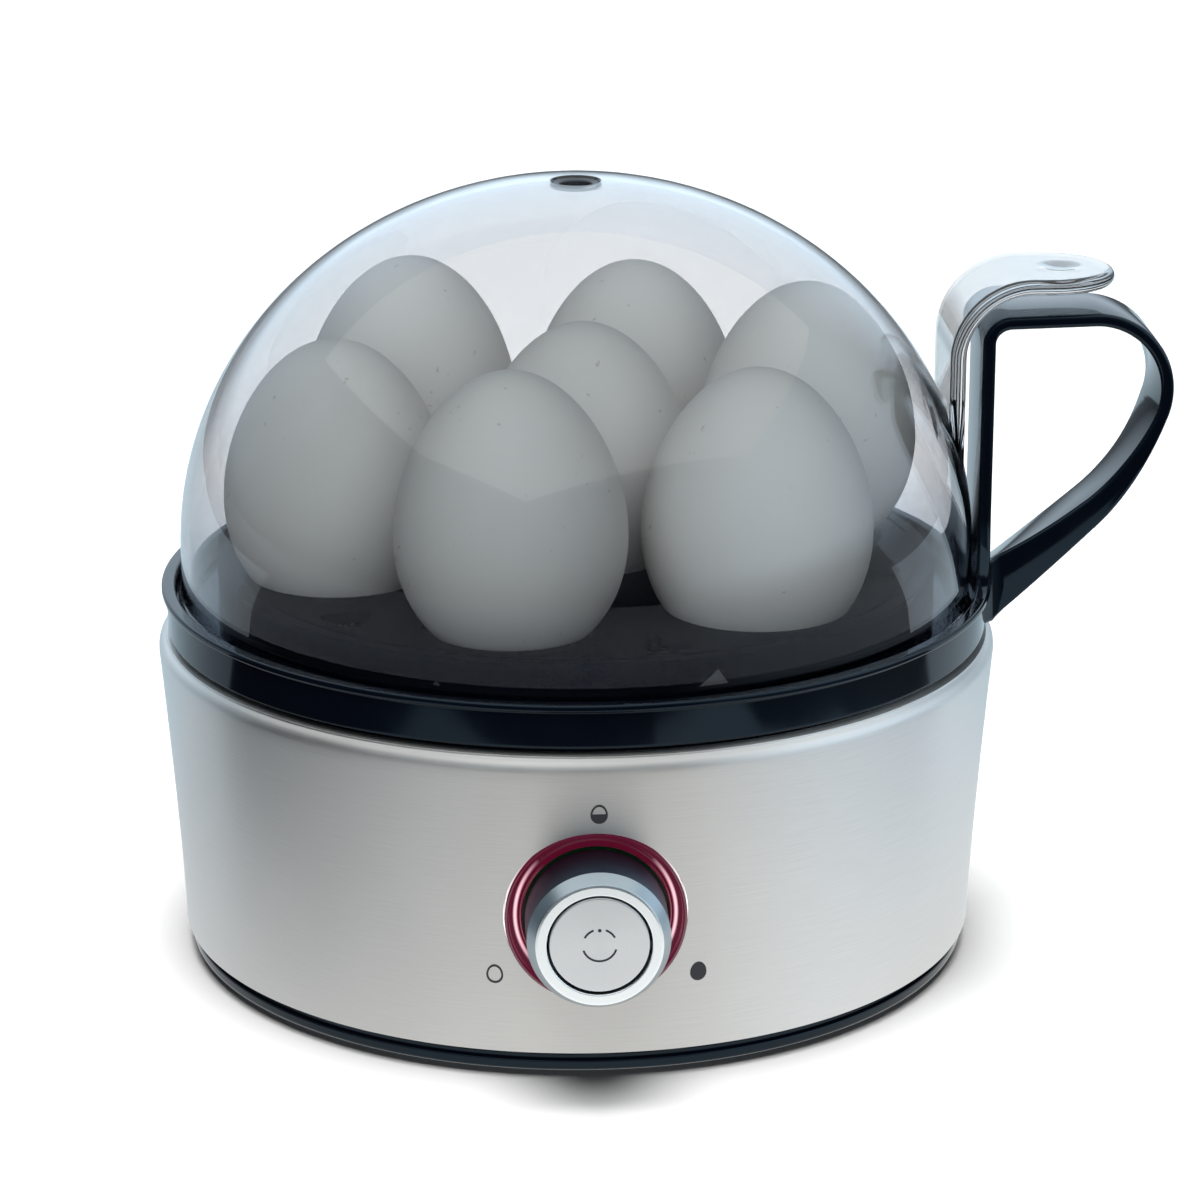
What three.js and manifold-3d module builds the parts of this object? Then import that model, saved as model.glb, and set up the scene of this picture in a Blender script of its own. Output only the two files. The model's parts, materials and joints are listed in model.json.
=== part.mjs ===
// Seven-egg cooker: a steel-clad round housing with a heated water pan, a lift-out egg carrier
// with a loop handle, and a clear dome lid. A rotary hardness knob on the front holds a
// start button in its centre, inside a ring that lights up.
// Millimetres, +Z up. The knob faces -Y and the carrier's handle is on +X. Until the last
// lines the body axis is X = Y = 0; the finished group then stands centred on its own box.

import * as THREE from 'three';
import { mergeVertices } from 'three/addons/utils/BufferGeometryUtils.js';
import Module from 'manifold-3d';

const wasm = await Module();
wasm.setup();

// ---------- Driving dimensions ----------

const GAP = 0.3;                 // between pieces that rest on each other
const ROUND = 32;                // sides of the large rings
const DISC = 18;                 // sides of the knob-sized rings
const PEG = 8;                   // sides of screws and small bosses
const CAN = 16;                  // sides of the bushing and the round parts under the heater
const FULL_TURN = Math.PI * 2;

const SHELL = {
  bottomZ: 6, bottomR: 85.8, shoulderZ: 67, shoulderR: 90, flare: 1.25,
  lipZ: 70.4, lipR: 88.3, lipDrop: 1.3, mouthR: 85, wall: 0.8, bendsZ: [22, 37, 52],
};
const FRAME = { innerR: 82.3, outerR: 84.3, bottomZ: 5.1, ledgeZ: 57.6, topZ: 60, ledgeR: 68 };
const PAN = {
  floorZ: 45.6, floorR: 56, cornerRise: 2, cornerR: 59, wallR: 66, flangeZ: 61.6, flangeR: 83.2, wall: 1,
};
const GASKET = { innerR: 69, outerR: 80 };
const BASE = {
  bottomZ: 1.6, topZ: 3.8, lipR: 84.6, recessR: 83.6, ledgeZ: 4.8,
  upstandR: 81.4, upstandZ: 9, upstandWall: 1.8,
};
const VENT_SLOT = { count: 5, pitch: 9, halfWidth: 1.5, halfLength: 11, cutZ: 6 };
const SCREW_POST = { count: 4, ringR: 72, r: 4.2, bottomZ: 8.2, pilotR: 1.75, pilotZ: 20, coverZ: 7.8 };
const BASE_SCREW = { headR: 3.2, headZ: 2.2, neckZ: 4.2, r: 1.4, threadZ: 17, tipZ: 18, holeR: 1.9 };
const COUNTERBORE = { r: 3.7, z: 4.6 };
const FOOT = { count: 4, ringR: 68, r: 8, height: 2.3, edge: 0.8, clearance: 0.4 };

const HEATER = { r: 54, bottomZ: 41.3, thick: 4, hole: 6.3 };
const ELEMENT = { ringR: 38, r: 4, z: 37, drop: 8, gapAngle: 14 * Math.PI / 180, bendShare: 0.07 };
const CLAMP = {
  halfLength: 43, foot: 53, halfWidth: 6, bottomZ: 30.6, thick: 2.3, sheet: 2, holeR: 1.7, screwX: 49,
};
const CLAMP_SCREW = { headR: 2.8, headZ: 36.9, neckZ: 38.7, r: 1.3, depth: 3, holeDepth: 3.5 };
const THERMOSTAT = { y: 20, bottomZ: 34.5, r: 5, capZ: 36.5, capR: 7.5 };
const FUSE = { x: -18, z: 38.6, r: 2.2, halfLength: 9 };
const SENSOR = { bottomZ: 40.3, flangeR: 5.9, flangeZ: 41.6, r: 5.4 };
const SENSOR_SPRING = { r: 4.2, wire: 0.45, z: 33.6, length: 6, turns: 3 };

const RIM = {
  collarInnerR: 82.4, collarOuterR: 84, bottomZ: 62.9, wallInnerR: 86.2, wallOuterR: 88,
  wallBottomZ: 71.7, beadR: 89.1, beadZ: 79.7, topZ: 81.2, edge: 0.4, floorZ: 77.4, floorThick: 2, shelfR: 72,
};
const TRAY = { r: 77, topZ: 85.6, thick: 2.2, skirtWall: 1.8, edge: 0.7 };
const SEAT = { count: 6, ringR: 52, r: 16.5, wall: 1.6, bottomZ: 79.5, turn: 12.8 * Math.PI / 180 };
const STEAM_SLOT = { ringR: 66, r: 6 };

const HANDLE = {
  width: 20.6, legX: 86, strip: 2.8, topZ: 138.6, cornerR: 5.7, windowDrop: 0.3,
  bowX: 109.5, bowZ: 122.1, bowR: 17, bowEnd: -20 * Math.PI / 180,
  rootX: 89.8, rootZ: 72, rootTopZ: 87.3, rootFlare: 0.6, rootFlareZ: 76,
  outerBend: [122.4, 107.8, 117.7, 99, 111.3, 92.7],
  innerRoot: [94, 90, 100, 93.2, 107, 96.8],
  innerBend: [113.2, 100, 120.4, 110.6],
};
const DOME = { r: 84.8, height: 78, springZ: 89, bottomZ: 77.9, wall: 2, ventR: 5, ventZ: 150 };
const TAB = { width: 29, innerX: 78.3, thick: 3.3, bottomZ: 100, bendZ: 130.3, bendR: 17, tipX: 114.3 };
const BUSH = { boreR: 3.4, neckR: 4.6, flangeR: 6.6, topDrop: 0.2, flangeDrop: 2.8, bottomDrop: 4.1 };

const KNOB = {
  z: 36, r: 14.25, faceR: 12.6, frontY: -102, shoulderY: -99, backY: -86.4, wall: 1.6,
  webFrontY: -94.2, webBackY: -92.6, hubInnerR: 6, hubOuterR: 7.6, hubBackY: -76.8,
};
const BUTTON = { r: 10.05, clearance: 0.4, setBack: 0.3, edge: 0.3, thick: 4.6, travel: 2, stemR: 3.5 };
const BUTTON_SPRING = { r: 4.75, wire: 0.4, startY: -90.8, length: 5.2, turns: 3 };
const LIGHT = {
  innerR: 14.75, outerR: 18.25, frontY: -87.4, backY: -82.6, flangeR: 19.2, flangeThick: 1.3,
  lipWidth: 1, lipEdge: 0.3, troughDepth: 1.2, troughInnerR: 15.65, innerLipR: 15.35, innerLipDrop: 0.4,
};
const CUTOUT = { shellR: 18.55, frameR: 19.5, outY: -95, shellInY: -75, frameInY: -79 };

const BOARD = { halfX: 24, halfZ: 18, frontY: -66, thick: 1.6 };
const MOUNT = {
  half: 20, frontY: -75.5, thick: 2.4, sleeveR: 5.5, boreR: 3.9, sleeveY: -90,
  earX: 28, earHalf: 5, screwX: 25,
};
const BOSS = { nearX: 22, farX: 28, frontY: -79.8, skin: 0.8 };
const POST = { x: 15, z: 15, r: 3.2, hole: 1.45 };
const SMALL_SCREW = { r: 1.1, headR: 2.4, head: 1.4, length: 4.8 };
const LED_BOARD = { innerR: 9, outerR: 18.8, frontY: -81, backY: -80 };
const LED = { count: 4, ringR: 16.4, half: 1.3, frontY: -82.3, backY: -81.3 };
const DIAL = { half: 13, frontY: -79.7, boreR: 8 };
const SWITCH = { half: 3, frontY: -69.8, plungerR: 1.7, plungerY: -71 };
const RELAY = { x0: -10, x1: 9, z0: 19, z1: 31, depth: 13 };
const CAPACITOR = { x: 19.2, z: 34, r: 4, length: 12 };
const BUZZER = { x: -18, z: 38, r: 6, hole: 2, vent: 1, thick: 6, lid: 1.2 };

const GLAND = {
  z: 16.5, boreR: 3, neckR: 4.8, clearance: 0.5, innerFlangeR: 6.6, inY: 78.5, innerFlangeY: 80.5,
  flangeR: 6.8, flangeY: 86.9, edgeY: 88.4, outY: 89.2, cutInY: 78, cutOutY: 95,
};
const TERMINALS = { halfX: 12, y0: 50, y1: 64, z0: 8, z1: 20 };
const LEAD = { r: 1.1, steps: 12 };

// ---------- Materials ----------

const finish = (color, roughness, metalness, extra = {}) =>
  new THREE.MeshStandardMaterial({ color, roughness, metalness, ...extra });

const STEEL = finish(0xb9b7b2, 0.35, 1);
const BLACK = finish(0x10141b, 0.18, 0);
const DARK = finish(0x1c1e22, 0.6, 0);
const CLEAR = finish(0xdfe6ee, 0.05, 0, { transparent: true, opacity: 0.3 });
const SILVER = finish(0xc9cbce, 0.3, 0.9);
const RED = finish(0xa51638, 0.15, 0, { transparent: true, opacity: 0.85 });
const ALUMINIUM = finish(0xa8aaad, 0.4, 1);
const SCREW_STEEL = finish(0x8f9194, 0.3, 1);
const RUBBER = finish(0x222326, 0.9, 0);
const SILICONE = finish(0xd8d8d4, 0.8, 0);
const CIRCUIT = finish(0x1f5b35, 0.5, 0);
const LED_WHITE = finish(0xf1efe4, 0.3, 0);
const WIRE = finish(0xb9b0a0, 0.6, 0);

// ---------- Shape helpers ----------

// Merges shared vertices, drops collapsed triangles and turns the faces outwards.
function weld(geometry) {
  const bare = geometry.clone();
  bare.deleteAttribute('normal');
  bare.deleteAttribute('uv');
  const merged = mergeVertices(bare, 1e-4);
  const p = merged.getAttribute('position');
  const index = merged.getIndex().array;
  const a = new THREE.Vector3();
  const b = new THREE.Vector3();
  const c = new THREE.Vector3();
  const kept = [];
  let volume = 0;
  for (let i = 0; i < index.length; i += 3) {
    const [ia, ib, ic] = [index[i], index[i + 1], index[i + 2]];
    if (ia === ib || ib === ic || ic === ia) continue;
    kept.push(ia, ib, ic);
    a.fromBufferAttribute(p, ia);
    b.fromBufferAttribute(p, ib);
    c.fromBufferAttribute(p, ic);
    volume += a.dot(b.cross(c));
  }
  if (volume < 0) {
    for (let i = 0; i < kept.length; i += 3) {
      [kept[i + 1], kept[i + 2]] = [kept[i + 2], kept[i + 1]];
    }
  }
  const out = new THREE.BufferGeometry();
  out.setAttribute('position', new THREE.BufferAttribute(new Float32Array(p.array), 3));
  out.setIndex(kept);
  out.computeVertexNormals();
  return out;
}

function solid(geometry) {
  const welded = weld(geometry);
  return new wasm.Manifold(new wasm.Mesh({
    numProp: 3,
    vertProperties: new Float32Array(welded.getAttribute('position').array),
    triVerts: new Uint32Array(welded.getIndex().array),
  }));
}

function surface(body) {
  const mesh = body.getMesh();
  const out = new THREE.BufferGeometry();
  out.setAttribute('position', new THREE.BufferAttribute(new Float32Array(mesh.vertProperties), 3));
  out.setIndex([...mesh.triVerts]);
  out.computeVertexNormals();
  return out;
}

// A ring or disc turned about +Z from [radius, z] points, closed on itself or on the axis.
function turned(points, sides = ROUND) {
  return turnedAboutY(points, sides).rotateX(Math.PI / 2);
}

// The same about the Y axis, from [radius, y] points.
function turnedAboutY(points, sides = DISC) {
  const closed = points[0][0] === 0 ? points : [...points, points[0]];
  return new THREE.LatheGeometry(closed.map(([r, y]) => new THREE.Vector2(r, y)), sides);
}

function block(x0, x1, y0, y1, z0, z1) {
  return new THREE.BoxGeometry(x1 - x0, y1 - y0, z1 - z0)
    .translate((x0 + x1) / 2, (y0 + y1) / 2, (z0 + z1) / 2);
}

function rod(r, z0, z1, x = 0, y = 0, sides = PEG) {
  return new THREE.CylinderGeometry(r, r, z1 - z0, sides)
    .rotateX(Math.PI / 2)
    .translate(x, y, (z0 + z1) / 2);
}

function rodY(r, y0, y1, x = 0, z = 0, sides = PEG) {
  return new THREE.CylinderGeometry(r, r, y1 - y0, sides).translate(x, (y0 + y1) / 2, z);
}

// A shape drawn in (X, Z), extruded to +-halfWidth along Y.
function slabXZ(shape, halfWidth, curveSegments = 8) {
  return new THREE.ExtrudeGeometry(shape, { depth: halfWidth * 2, bevelEnabled: false, curveSegments })
    .rotateX(Math.PI / 2)
    .translate(0, halfWidth, 0);
}

function tube(curve, r, steps, sides = 6) {
  const section = new THREE.Shape();
  for (let i = 0; i < sides; i += 1) {
    const angle = FULL_TURN * i / sides;
    const [x, y] = [r * Math.cos(angle), r * Math.sin(angle)];
    if (i === 0) section.moveTo(x, y);
    else section.lineTo(x, y);
  }
  section.closePath();
  return new THREE.ExtrudeGeometry(section, { steps, extrudePath: curve, bevelEnabled: false });
}

const around = (count, ringR, startAngle = 0) => Array.from({ length: count }, (_, k) => {
  const angle = startAngle + FULL_TURN * k / count;
  return { x: ringR * Math.cos(angle), y: ringR * Math.sin(angle), angle };
});

function place(group, name, geometry, material, position = [0, 0, 0]) {
  const mesh = new THREE.Mesh(weld(geometry), material);
  mesh.name = name;
  mesh.position.set(...position);
  group.add(mesh);
  return mesh;
}

// ---------- Housing: shell, frame, base ----------

function shellRadius(z) {
  const t = (z - SHELL.bottomZ) / (SHELL.shoulderZ - SHELL.bottomZ);
  return SHELL.bottomR + (SHELL.shoulderR - SHELL.bottomR) * t ** SHELL.flare;
}

function glandCut() {
  return rodY(GLAND.neckR + GLAND.clearance, GLAND.cutInY, GLAND.cutOutY, 0, GLAND.z);
}

function housingShell() {
  const heights = [SHELL.bottomZ, ...SHELL.bendsZ, SHELL.shoulderZ];
  const outside = heights.map((z) => [shellRadius(z), z]);
  const inside = heights.map((z) => [shellRadius(z) - SHELL.wall, z]).reverse();
  const lip = [
    [SHELL.shoulderR - 0.5, SHELL.lipZ - SHELL.lipDrop],
    [SHELL.lipR, SHELL.lipZ],
    [SHELL.mouthR, SHELL.lipZ],
    [SHELL.mouthR, SHELL.lipZ - SHELL.wall],
    [SHELL.lipR - 0.3, SHELL.lipZ - SHELL.wall],
  ];
  return solid(turned([...outside, ...lip, ...inside]))
    .subtract(solid(rodY(CUTOUT.shellR, CUTOUT.outY, CUTOUT.shellInY, 0, KNOB.z, DISC)))
    .subtract(solid(glandCut()));
}

function innerFrame() {
  let body = solid(turned([
    [FRAME.innerR, FRAME.bottomZ],
    [FRAME.outerR, FRAME.bottomZ],
    [FRAME.outerR, FRAME.topZ],
    [FRAME.ledgeR, FRAME.topZ],
    [FRAME.ledgeR, FRAME.ledgeZ],
    [FRAME.innerR, FRAME.ledgeZ],
  ]));
  for (const { x, y } of around(SCREW_POST.count, SCREW_POST.ringR, Math.PI / 4)) {
    body = body.add(solid(rod(SCREW_POST.r, SCREW_POST.bottomZ, FRAME.topZ - 1, x, y)));
    body = body.subtract(solid(rod(SCREW_POST.pilotR, SCREW_POST.bottomZ - 1, SCREW_POST.pilotZ, x, y)));
  }
  for (const side of [-1, 1]) {
    const [near, far] = side < 0 ? [-BOSS.farX, -BOSS.nearX] : [BOSS.nearX, BOSS.farX];
    body = body.add(solid(block(near, far, BOSS.frontY, MOUNT.frontY - GAP,
      KNOB.z - MOUNT.earHalf, KNOB.z + MOUNT.earHalf)));
    body = body.subtract(solid(rodY(POST.hole, BOSS.frontY + BOSS.skin, MOUNT.frontY,
      side * MOUNT.screwX, KNOB.z)));
  }
  return body
    .subtract(solid(rodY(CUTOUT.frameR, CUTOUT.outY, CUTOUT.frameInY, 0, KNOB.z, DISC)))
    .subtract(solid(glandCut()));
}

function baseCover() {
  let body = solid(turned([
    [0, BASE.bottomZ],
    [BASE.lipR, BASE.bottomZ],
    [BASE.lipR, BASE.topZ - 0.1],
    [BASE.recessR, BASE.topZ + 0.2],
    [BASE.recessR, BASE.ledgeZ],
    [BASE.upstandR, BASE.ledgeZ],
    [BASE.upstandR, BASE.upstandZ],
    [BASE.upstandR - BASE.upstandWall, BASE.upstandZ],
    [BASE.upstandR - BASE.upstandWall, BASE.topZ],
    [0, BASE.topZ],
  ]));
  for (const { x, y } of around(SCREW_POST.count, SCREW_POST.ringR, Math.PI / 4)) {
    body = body.add(solid(rod(SCREW_POST.r, BASE.topZ - 1, SCREW_POST.coverZ, x, y)));
    body = body.subtract(solid(rod(BASE_SCREW.holeR, 0, SCREW_POST.coverZ + 2, x, y)));
    body = body.subtract(solid(rod(COUNTERBORE.r, 0, COUNTERBORE.z, x, y)));
  }
  for (const { x, y } of around(FOOT.count, FOOT.ringR)) {
    body = body.subtract(solid(rod(FOOT.r + FOOT.clearance, 0, FOOT.height + GAP, x, y, DISC)));
  }
  for (let k = 0; k < VENT_SLOT.count; k += 1) {
    const x = VENT_SLOT.pitch * (k - (VENT_SLOT.count - 1) / 2);
    body = body.subtract(solid(block(x - VENT_SLOT.halfWidth, x + VENT_SLOT.halfWidth,
      -VENT_SLOT.halfLength, VENT_SLOT.halfLength, 0, VENT_SLOT.cutZ)));
  }
  return body;
}

function addHousing(group) {
  place(group, 'housing_shell', surface(housingShell()), STEEL);
  place(group, 'inner_frame', surface(innerFrame()), DARK);
  place(group, 'base_cover', surface(baseCover()), BLACK);
  around(FOOT.count, FOOT.ringR).forEach(({ x, y }, k) => {
    place(group, `foot_${k + 1}`, turned([
      [0, 0],
      [FOOT.r - FOOT.edge, 0],
      [FOOT.r, FOOT.edge],
      [FOOT.r, FOOT.height],
      [0, FOOT.height],
    ], DISC), RUBBER, [x, y, 0]);
  });
  around(SCREW_POST.count, SCREW_POST.ringR, Math.PI / 4).forEach(({ x, y }, k) => {
    place(group, `base_screw_${k + 1}`, turned([
      [0, BASE_SCREW.headZ],
      [BASE_SCREW.headR, BASE_SCREW.headZ],
      [BASE_SCREW.headR, BASE_SCREW.neckZ],
      [BASE_SCREW.r, BASE_SCREW.neckZ],
      [BASE_SCREW.r, BASE_SCREW.threadZ],
      [0, BASE_SCREW.tipZ],
    ], PEG), SCREW_STEEL, [x, y, 0]);
  });
  place(group, 'cord_bushing', turnedAboutY([
    [GLAND.boreR, GLAND.inY],
    [GLAND.innerFlangeR, GLAND.inY],
    [GLAND.innerFlangeR, GLAND.innerFlangeY],
    [GLAND.neckR, GLAND.innerFlangeY],
    [GLAND.neckR, GLAND.flangeY],
    [GLAND.flangeR, GLAND.flangeY],
    [GLAND.flangeR, GLAND.edgeY],
    [GLAND.flangeR - 1, GLAND.outY],
    [GLAND.boreR, GLAND.outY],
  ], CAN), RUBBER, [0, 0, GLAND.z]);
}

// ---------- Water pan and heater ----------

function addPan(group) {
  const { floorZ, floorR, cornerRise, cornerR, wallR, flangeZ, flangeR, wall } = PAN;
  place(group, 'water_pan', turned([
    [0, floorZ],
    [floorR, floorZ],
    [cornerR, floorZ + cornerRise],
    [wallR, flangeZ],
    [flangeR, flangeZ],
    [flangeR, flangeZ + wall],
    [wallR - 0.8, flangeZ + wall],
    [cornerR - 0.7, floorZ + cornerRise + 0.6],
    [floorR - 0.5, floorZ + wall],
    [0, floorZ + wall],
  ]), STEEL);
  place(group, 'pan_gasket', turned([
    [GASKET.innerR, FRAME.topZ + GAP],
    [GASKET.outerR, FRAME.topZ + GAP],
    [GASKET.outerR, flangeZ - GAP],
    [GASKET.innerR, flangeZ - GAP],
  ]), SILICONE);
}

// The heating tube runs almost once round and turns down at its two ends.
class ElementCurve extends THREE.Curve {
  getPoint(t, target = new THREE.Vector3()) {
    const start = Math.PI / 2 + ELEMENT.gapAngle;
    const angle = start + t * (FULL_TURN - 2 * ELEMENT.gapAngle);
    const toEnd = Math.min(t, 1 - t) / ELEMENT.bendShare;
    const lift = THREE.MathUtils.smoothstep(toEnd, 0, 1);
    return target.set(
      ELEMENT.ringR * Math.cos(angle),
      ELEMENT.ringR * Math.sin(angle),
      ELEMENT.z - ELEMENT.drop * (1 - lift),
    );
  }
}

class Helix extends THREE.Curve {
  constructor(r, start, length, turns) {
    super();
    Object.assign(this, { r, start, length, turns });
  }

  getPoint(t, target = new THREE.Vector3()) {
    const angle = FULL_TURN * this.turns * t;
    return target.set(this.r * Math.cos(angle), this.r * Math.sin(angle), this.start + this.length * t);
  }
}

function spring({ r, wire, length, turns }, start) {
  return tube(new Helix(r, start, length, turns), wire, turns * 10, 4);
}

function addHeater(group) {
  const { r, bottomZ, thick, hole } = HEATER;
  let plate = solid(turned([[hole, bottomZ], [r, bottomZ], [r, bottomZ + thick], [hole, bottomZ + thick]]));
  const reach = CLAMP.halfLength + CLAMP.sheet;
  let strap = solid(block(-reach, reach, -CLAMP.halfWidth, CLAMP.halfWidth,
    CLAMP.bottomZ, CLAMP.bottomZ + CLAMP.thick));
  const footTop = bottomZ - GAP;
  for (const side of [-1, 1]) {
    const xs = (a, b) => (side < 0 ? [-b, -a] : [a, b]);
    const leg = block(...xs(CLAMP.halfLength, reach), -CLAMP.halfWidth, CLAMP.halfWidth,
      CLAMP.bottomZ, footTop);
    const foot = block(...xs(CLAMP.halfLength + 1, CLAMP.foot), -CLAMP.halfWidth, CLAMP.halfWidth,
      footTop - CLAMP.sheet, footTop);
    strap = strap.add(solid(leg)).add(solid(foot));
    strap = strap.subtract(solid(rod(CLAMP.holeR, CLAMP.bottomZ, bottomZ, side * CLAMP.screwX, 0)));
    plate = plate.subtract(solid(rod(CLAMP.holeR, bottomZ - 1, bottomZ + CLAMP_SCREW.holeDepth,
      side * CLAMP.screwX, 0)));
  }
  place(group, 'heater_plate', surface(plate), ALUMINIUM);
  place(group, 'heater_clamp', surface(strap), SCREW_STEEL);
  [-1, 1].forEach((side, k) => {
    place(group, `clamp_screw_${k + 1}`, turned([
      [0, CLAMP_SCREW.headZ],
      [CLAMP_SCREW.headR, CLAMP_SCREW.headZ],
      [CLAMP_SCREW.headR, CLAMP_SCREW.neckZ],
      [CLAMP_SCREW.r, CLAMP_SCREW.neckZ],
      [CLAMP_SCREW.r, bottomZ + CLAMP_SCREW.depth],
      [0, bottomZ + CLAMP_SCREW.depth],
    ], PEG), SCREW_STEEL, [side * CLAMP.screwX, 0, 0]);
  });
  place(group, 'heating_element', tube(new ElementCurve(), ELEMENT.r, 28, 8), SCREW_STEEL);
  place(group, 'thermostat', turned([
    [0, THERMOSTAT.bottomZ],
    [THERMOSTAT.r, THERMOSTAT.bottomZ],
    [THERMOSTAT.r, THERMOSTAT.capZ],
    [THERMOSTAT.capR, THERMOSTAT.capZ],
    [THERMOSTAT.capR, footTop],
    [0, footTop],
  ], CAN), DARK, [0, THERMOSTAT.y, 0]);
  place(group, 'thermal_fuse', rodY(FUSE.r, -FUSE.halfLength, FUSE.halfLength), LED_WHITE,
    [FUSE.x, 0, FUSE.z]);
  place(group, 'temp_sensor', turned([
    [0, SENSOR.bottomZ],
    [SENSOR.flangeR, SENSOR.bottomZ],
    [SENSOR.flangeR, SENSOR.flangeZ],
    [SENSOR.r, SENSOR.flangeZ],
    [SENSOR.r, PAN.floorZ - 0.4],
    [0, PAN.floorZ - 0.4],
  ], CAN), ALUMINIUM);
  place(group, 'sensor_spring', spring(SENSOR_SPRING, SENSOR_SPRING.z), SCREW_STEEL);
}

// ---------- Control unit behind the front ----------

// A screw driven from behind, its head on the face at headY.
function smallScrew(headY) {
  const { r, headR, head, length } = SMALL_SCREW;
  const tipY = headY - length;
  const backY = headY + head;
  return turnedAboutY([[0, tipY], [r, tipY], [r, headY], [headR, headY], [headR, backY], [0, backY]], PEG);
}

function addControls(group) {
  const knobZ = [0, 0, KNOB.z];
  const backY = MOUNT.frontY + MOUNT.thick;
  let mount = solid(block(-MOUNT.half, MOUNT.half, MOUNT.frontY, backY, -MOUNT.half, MOUNT.half))
    .add(solid(block(-MOUNT.earX, MOUNT.earX, MOUNT.frontY, backY, -MOUNT.earHalf, MOUNT.earHalf)))
    .add(solid(rodY(MOUNT.sleeveR, MOUNT.sleeveY, MOUNT.frontY + 1, 0, 0, DISC)))
    .subtract(solid(rodY(MOUNT.boreR, MOUNT.sleeveY - 1, backY + 1, 0, 0, DISC)));
  const posts = [[1, 1], [-1, 1], [-1, -1], [1, -1]].map(([sx, sz]) => [sx * POST.x, sz * POST.z]);
  for (const [x, z] of posts) {
    mount = mount
      .add(solid(rodY(POST.r, backY - 1, BOARD.frontY - GAP, x, z)))
      .subtract(solid(rodY(POST.hole, backY + 1, BOARD.frontY, x, z)));
  }
  const earScrews = [-MOUNT.screwX, MOUNT.screwX];
  for (const x of earScrews) {
    mount = mount.subtract(solid(rodY(POST.hole, MOUNT.frontY - 1, backY + 1, x, 0)));
  }
  place(group, 'knob_mount', surface(mount), DARK, knobZ);
  earScrews.forEach((x, k) => {
    place(group, `mount_screw_${k + 1}`, smallScrew(backY + GAP), SCREW_STEEL, [x, 0, KNOB.z]);
  });

  place(group, 'light_ring', turnedAboutY([
    [LIGHT.innerR, LIGHT.backY],
    [LIGHT.flangeR, LIGHT.backY],
    [LIGHT.flangeR, LIGHT.backY - LIGHT.flangeThick],
    [LIGHT.outerR, LIGHT.backY - LIGHT.flangeThick],
    [LIGHT.outerR, LIGHT.frontY + LIGHT.lipEdge],
    [LIGHT.outerR - LIGHT.lipEdge, LIGHT.frontY],
    [LIGHT.outerR - LIGHT.lipWidth, LIGHT.frontY],
    [LIGHT.outerR - LIGHT.lipWidth - LIGHT.lipEdge, LIGHT.frontY + LIGHT.troughDepth],
    [LIGHT.troughInnerR, LIGHT.frontY + LIGHT.troughDepth],
    [LIGHT.innerLipR, LIGHT.frontY + LIGHT.innerLipDrop],
    [LIGHT.innerR, LIGHT.frontY + LIGHT.innerLipDrop],
  ]), RED, knobZ);

  place(group, 'led_board', turnedAboutY([
    [LED_BOARD.innerR, LED_BOARD.frontY],
    [LED_BOARD.outerR, LED_BOARD.frontY],
    [LED_BOARD.outerR, LED_BOARD.backY],
    [LED_BOARD.innerR, LED_BOARD.backY],
  ]), CIRCUIT, knobZ);
  around(LED.count, LED.ringR, Math.PI / 4).forEach(({ x, y }, k) => {
    const lamp = block(-LED.half, LED.half, LED.frontY, LED.backY, -LED.half, LED.half);
    place(group, `led_${k + 1}`, lamp, LED_WHITE, [x, 0, KNOB.z + y]);
  });
  const dial = solid(block(-DIAL.half, DIAL.half, DIAL.frontY, MOUNT.frontY - GAP, -DIAL.half, DIAL.half))
    .subtract(solid(rodY(DIAL.boreR, DIAL.frontY - 1, MOUNT.frontY + 1, 0, 0, DISC)));
  place(group, 'hardness_dial_sensor', surface(dial), DARK, knobZ);

  const boardTo = BOARD.frontY + BOARD.thick;
  let board = solid(block(-BOARD.halfX, BOARD.halfX, BOARD.frontY, boardTo, -BOARD.halfZ, BOARD.halfZ));
  for (const [x, z] of posts) {
    board = board.subtract(solid(rodY(POST.hole, BOARD.frontY - 1, boardTo + 1, x, z)));
  }
  place(group, 'control_board', surface(board), CIRCUIT, knobZ);
  const boardBack = boardTo + GAP;
  posts.forEach(([x, z], k) => {
    place(group, `board_screw_${k + 1}`, smallScrew(boardBack), SCREW_STEEL, [x, 0, KNOB.z + z]);
  });
  const startSwitch = solid(block(-SWITCH.half, SWITCH.half, SWITCH.frontY, BOARD.frontY - GAP,
    -SWITCH.half, SWITCH.half))
    .add(solid(rodY(SWITCH.plungerR, SWITCH.plungerY, SWITCH.frontY + 1)));
  place(group, 'start_switch', surface(startSwitch), DARK, knobZ);
  const relay = block(RELAY.x0, RELAY.x1, boardBack, boardBack + RELAY.depth, RELAY.z0, RELAY.z1);
  place(group, 'power_relay', relay, DARK);
  place(group, 'capacitor', rodY(CAPACITOR.r, boardBack, boardBack + CAPACITOR.length), ALUMINIUM,
    [CAPACITOR.x, 0, CAPACITOR.z]);
  place(group, 'buzzer', turnedAboutY([
    [BUZZER.hole, boardBack],
    [BUZZER.r, boardBack],
    [BUZZER.r, boardBack + BUZZER.thick],
    [BUZZER.vent, boardBack + BUZZER.thick],
    [BUZZER.vent, boardBack + BUZZER.thick - BUZZER.lid],
    [BUZZER.hole, boardBack + BUZZER.thick - BUZZER.lid],
  ], PEG), DARK, [BUZZER.x, 0, BUZZER.z]);
}

// ---------- Wiring ----------

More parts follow.
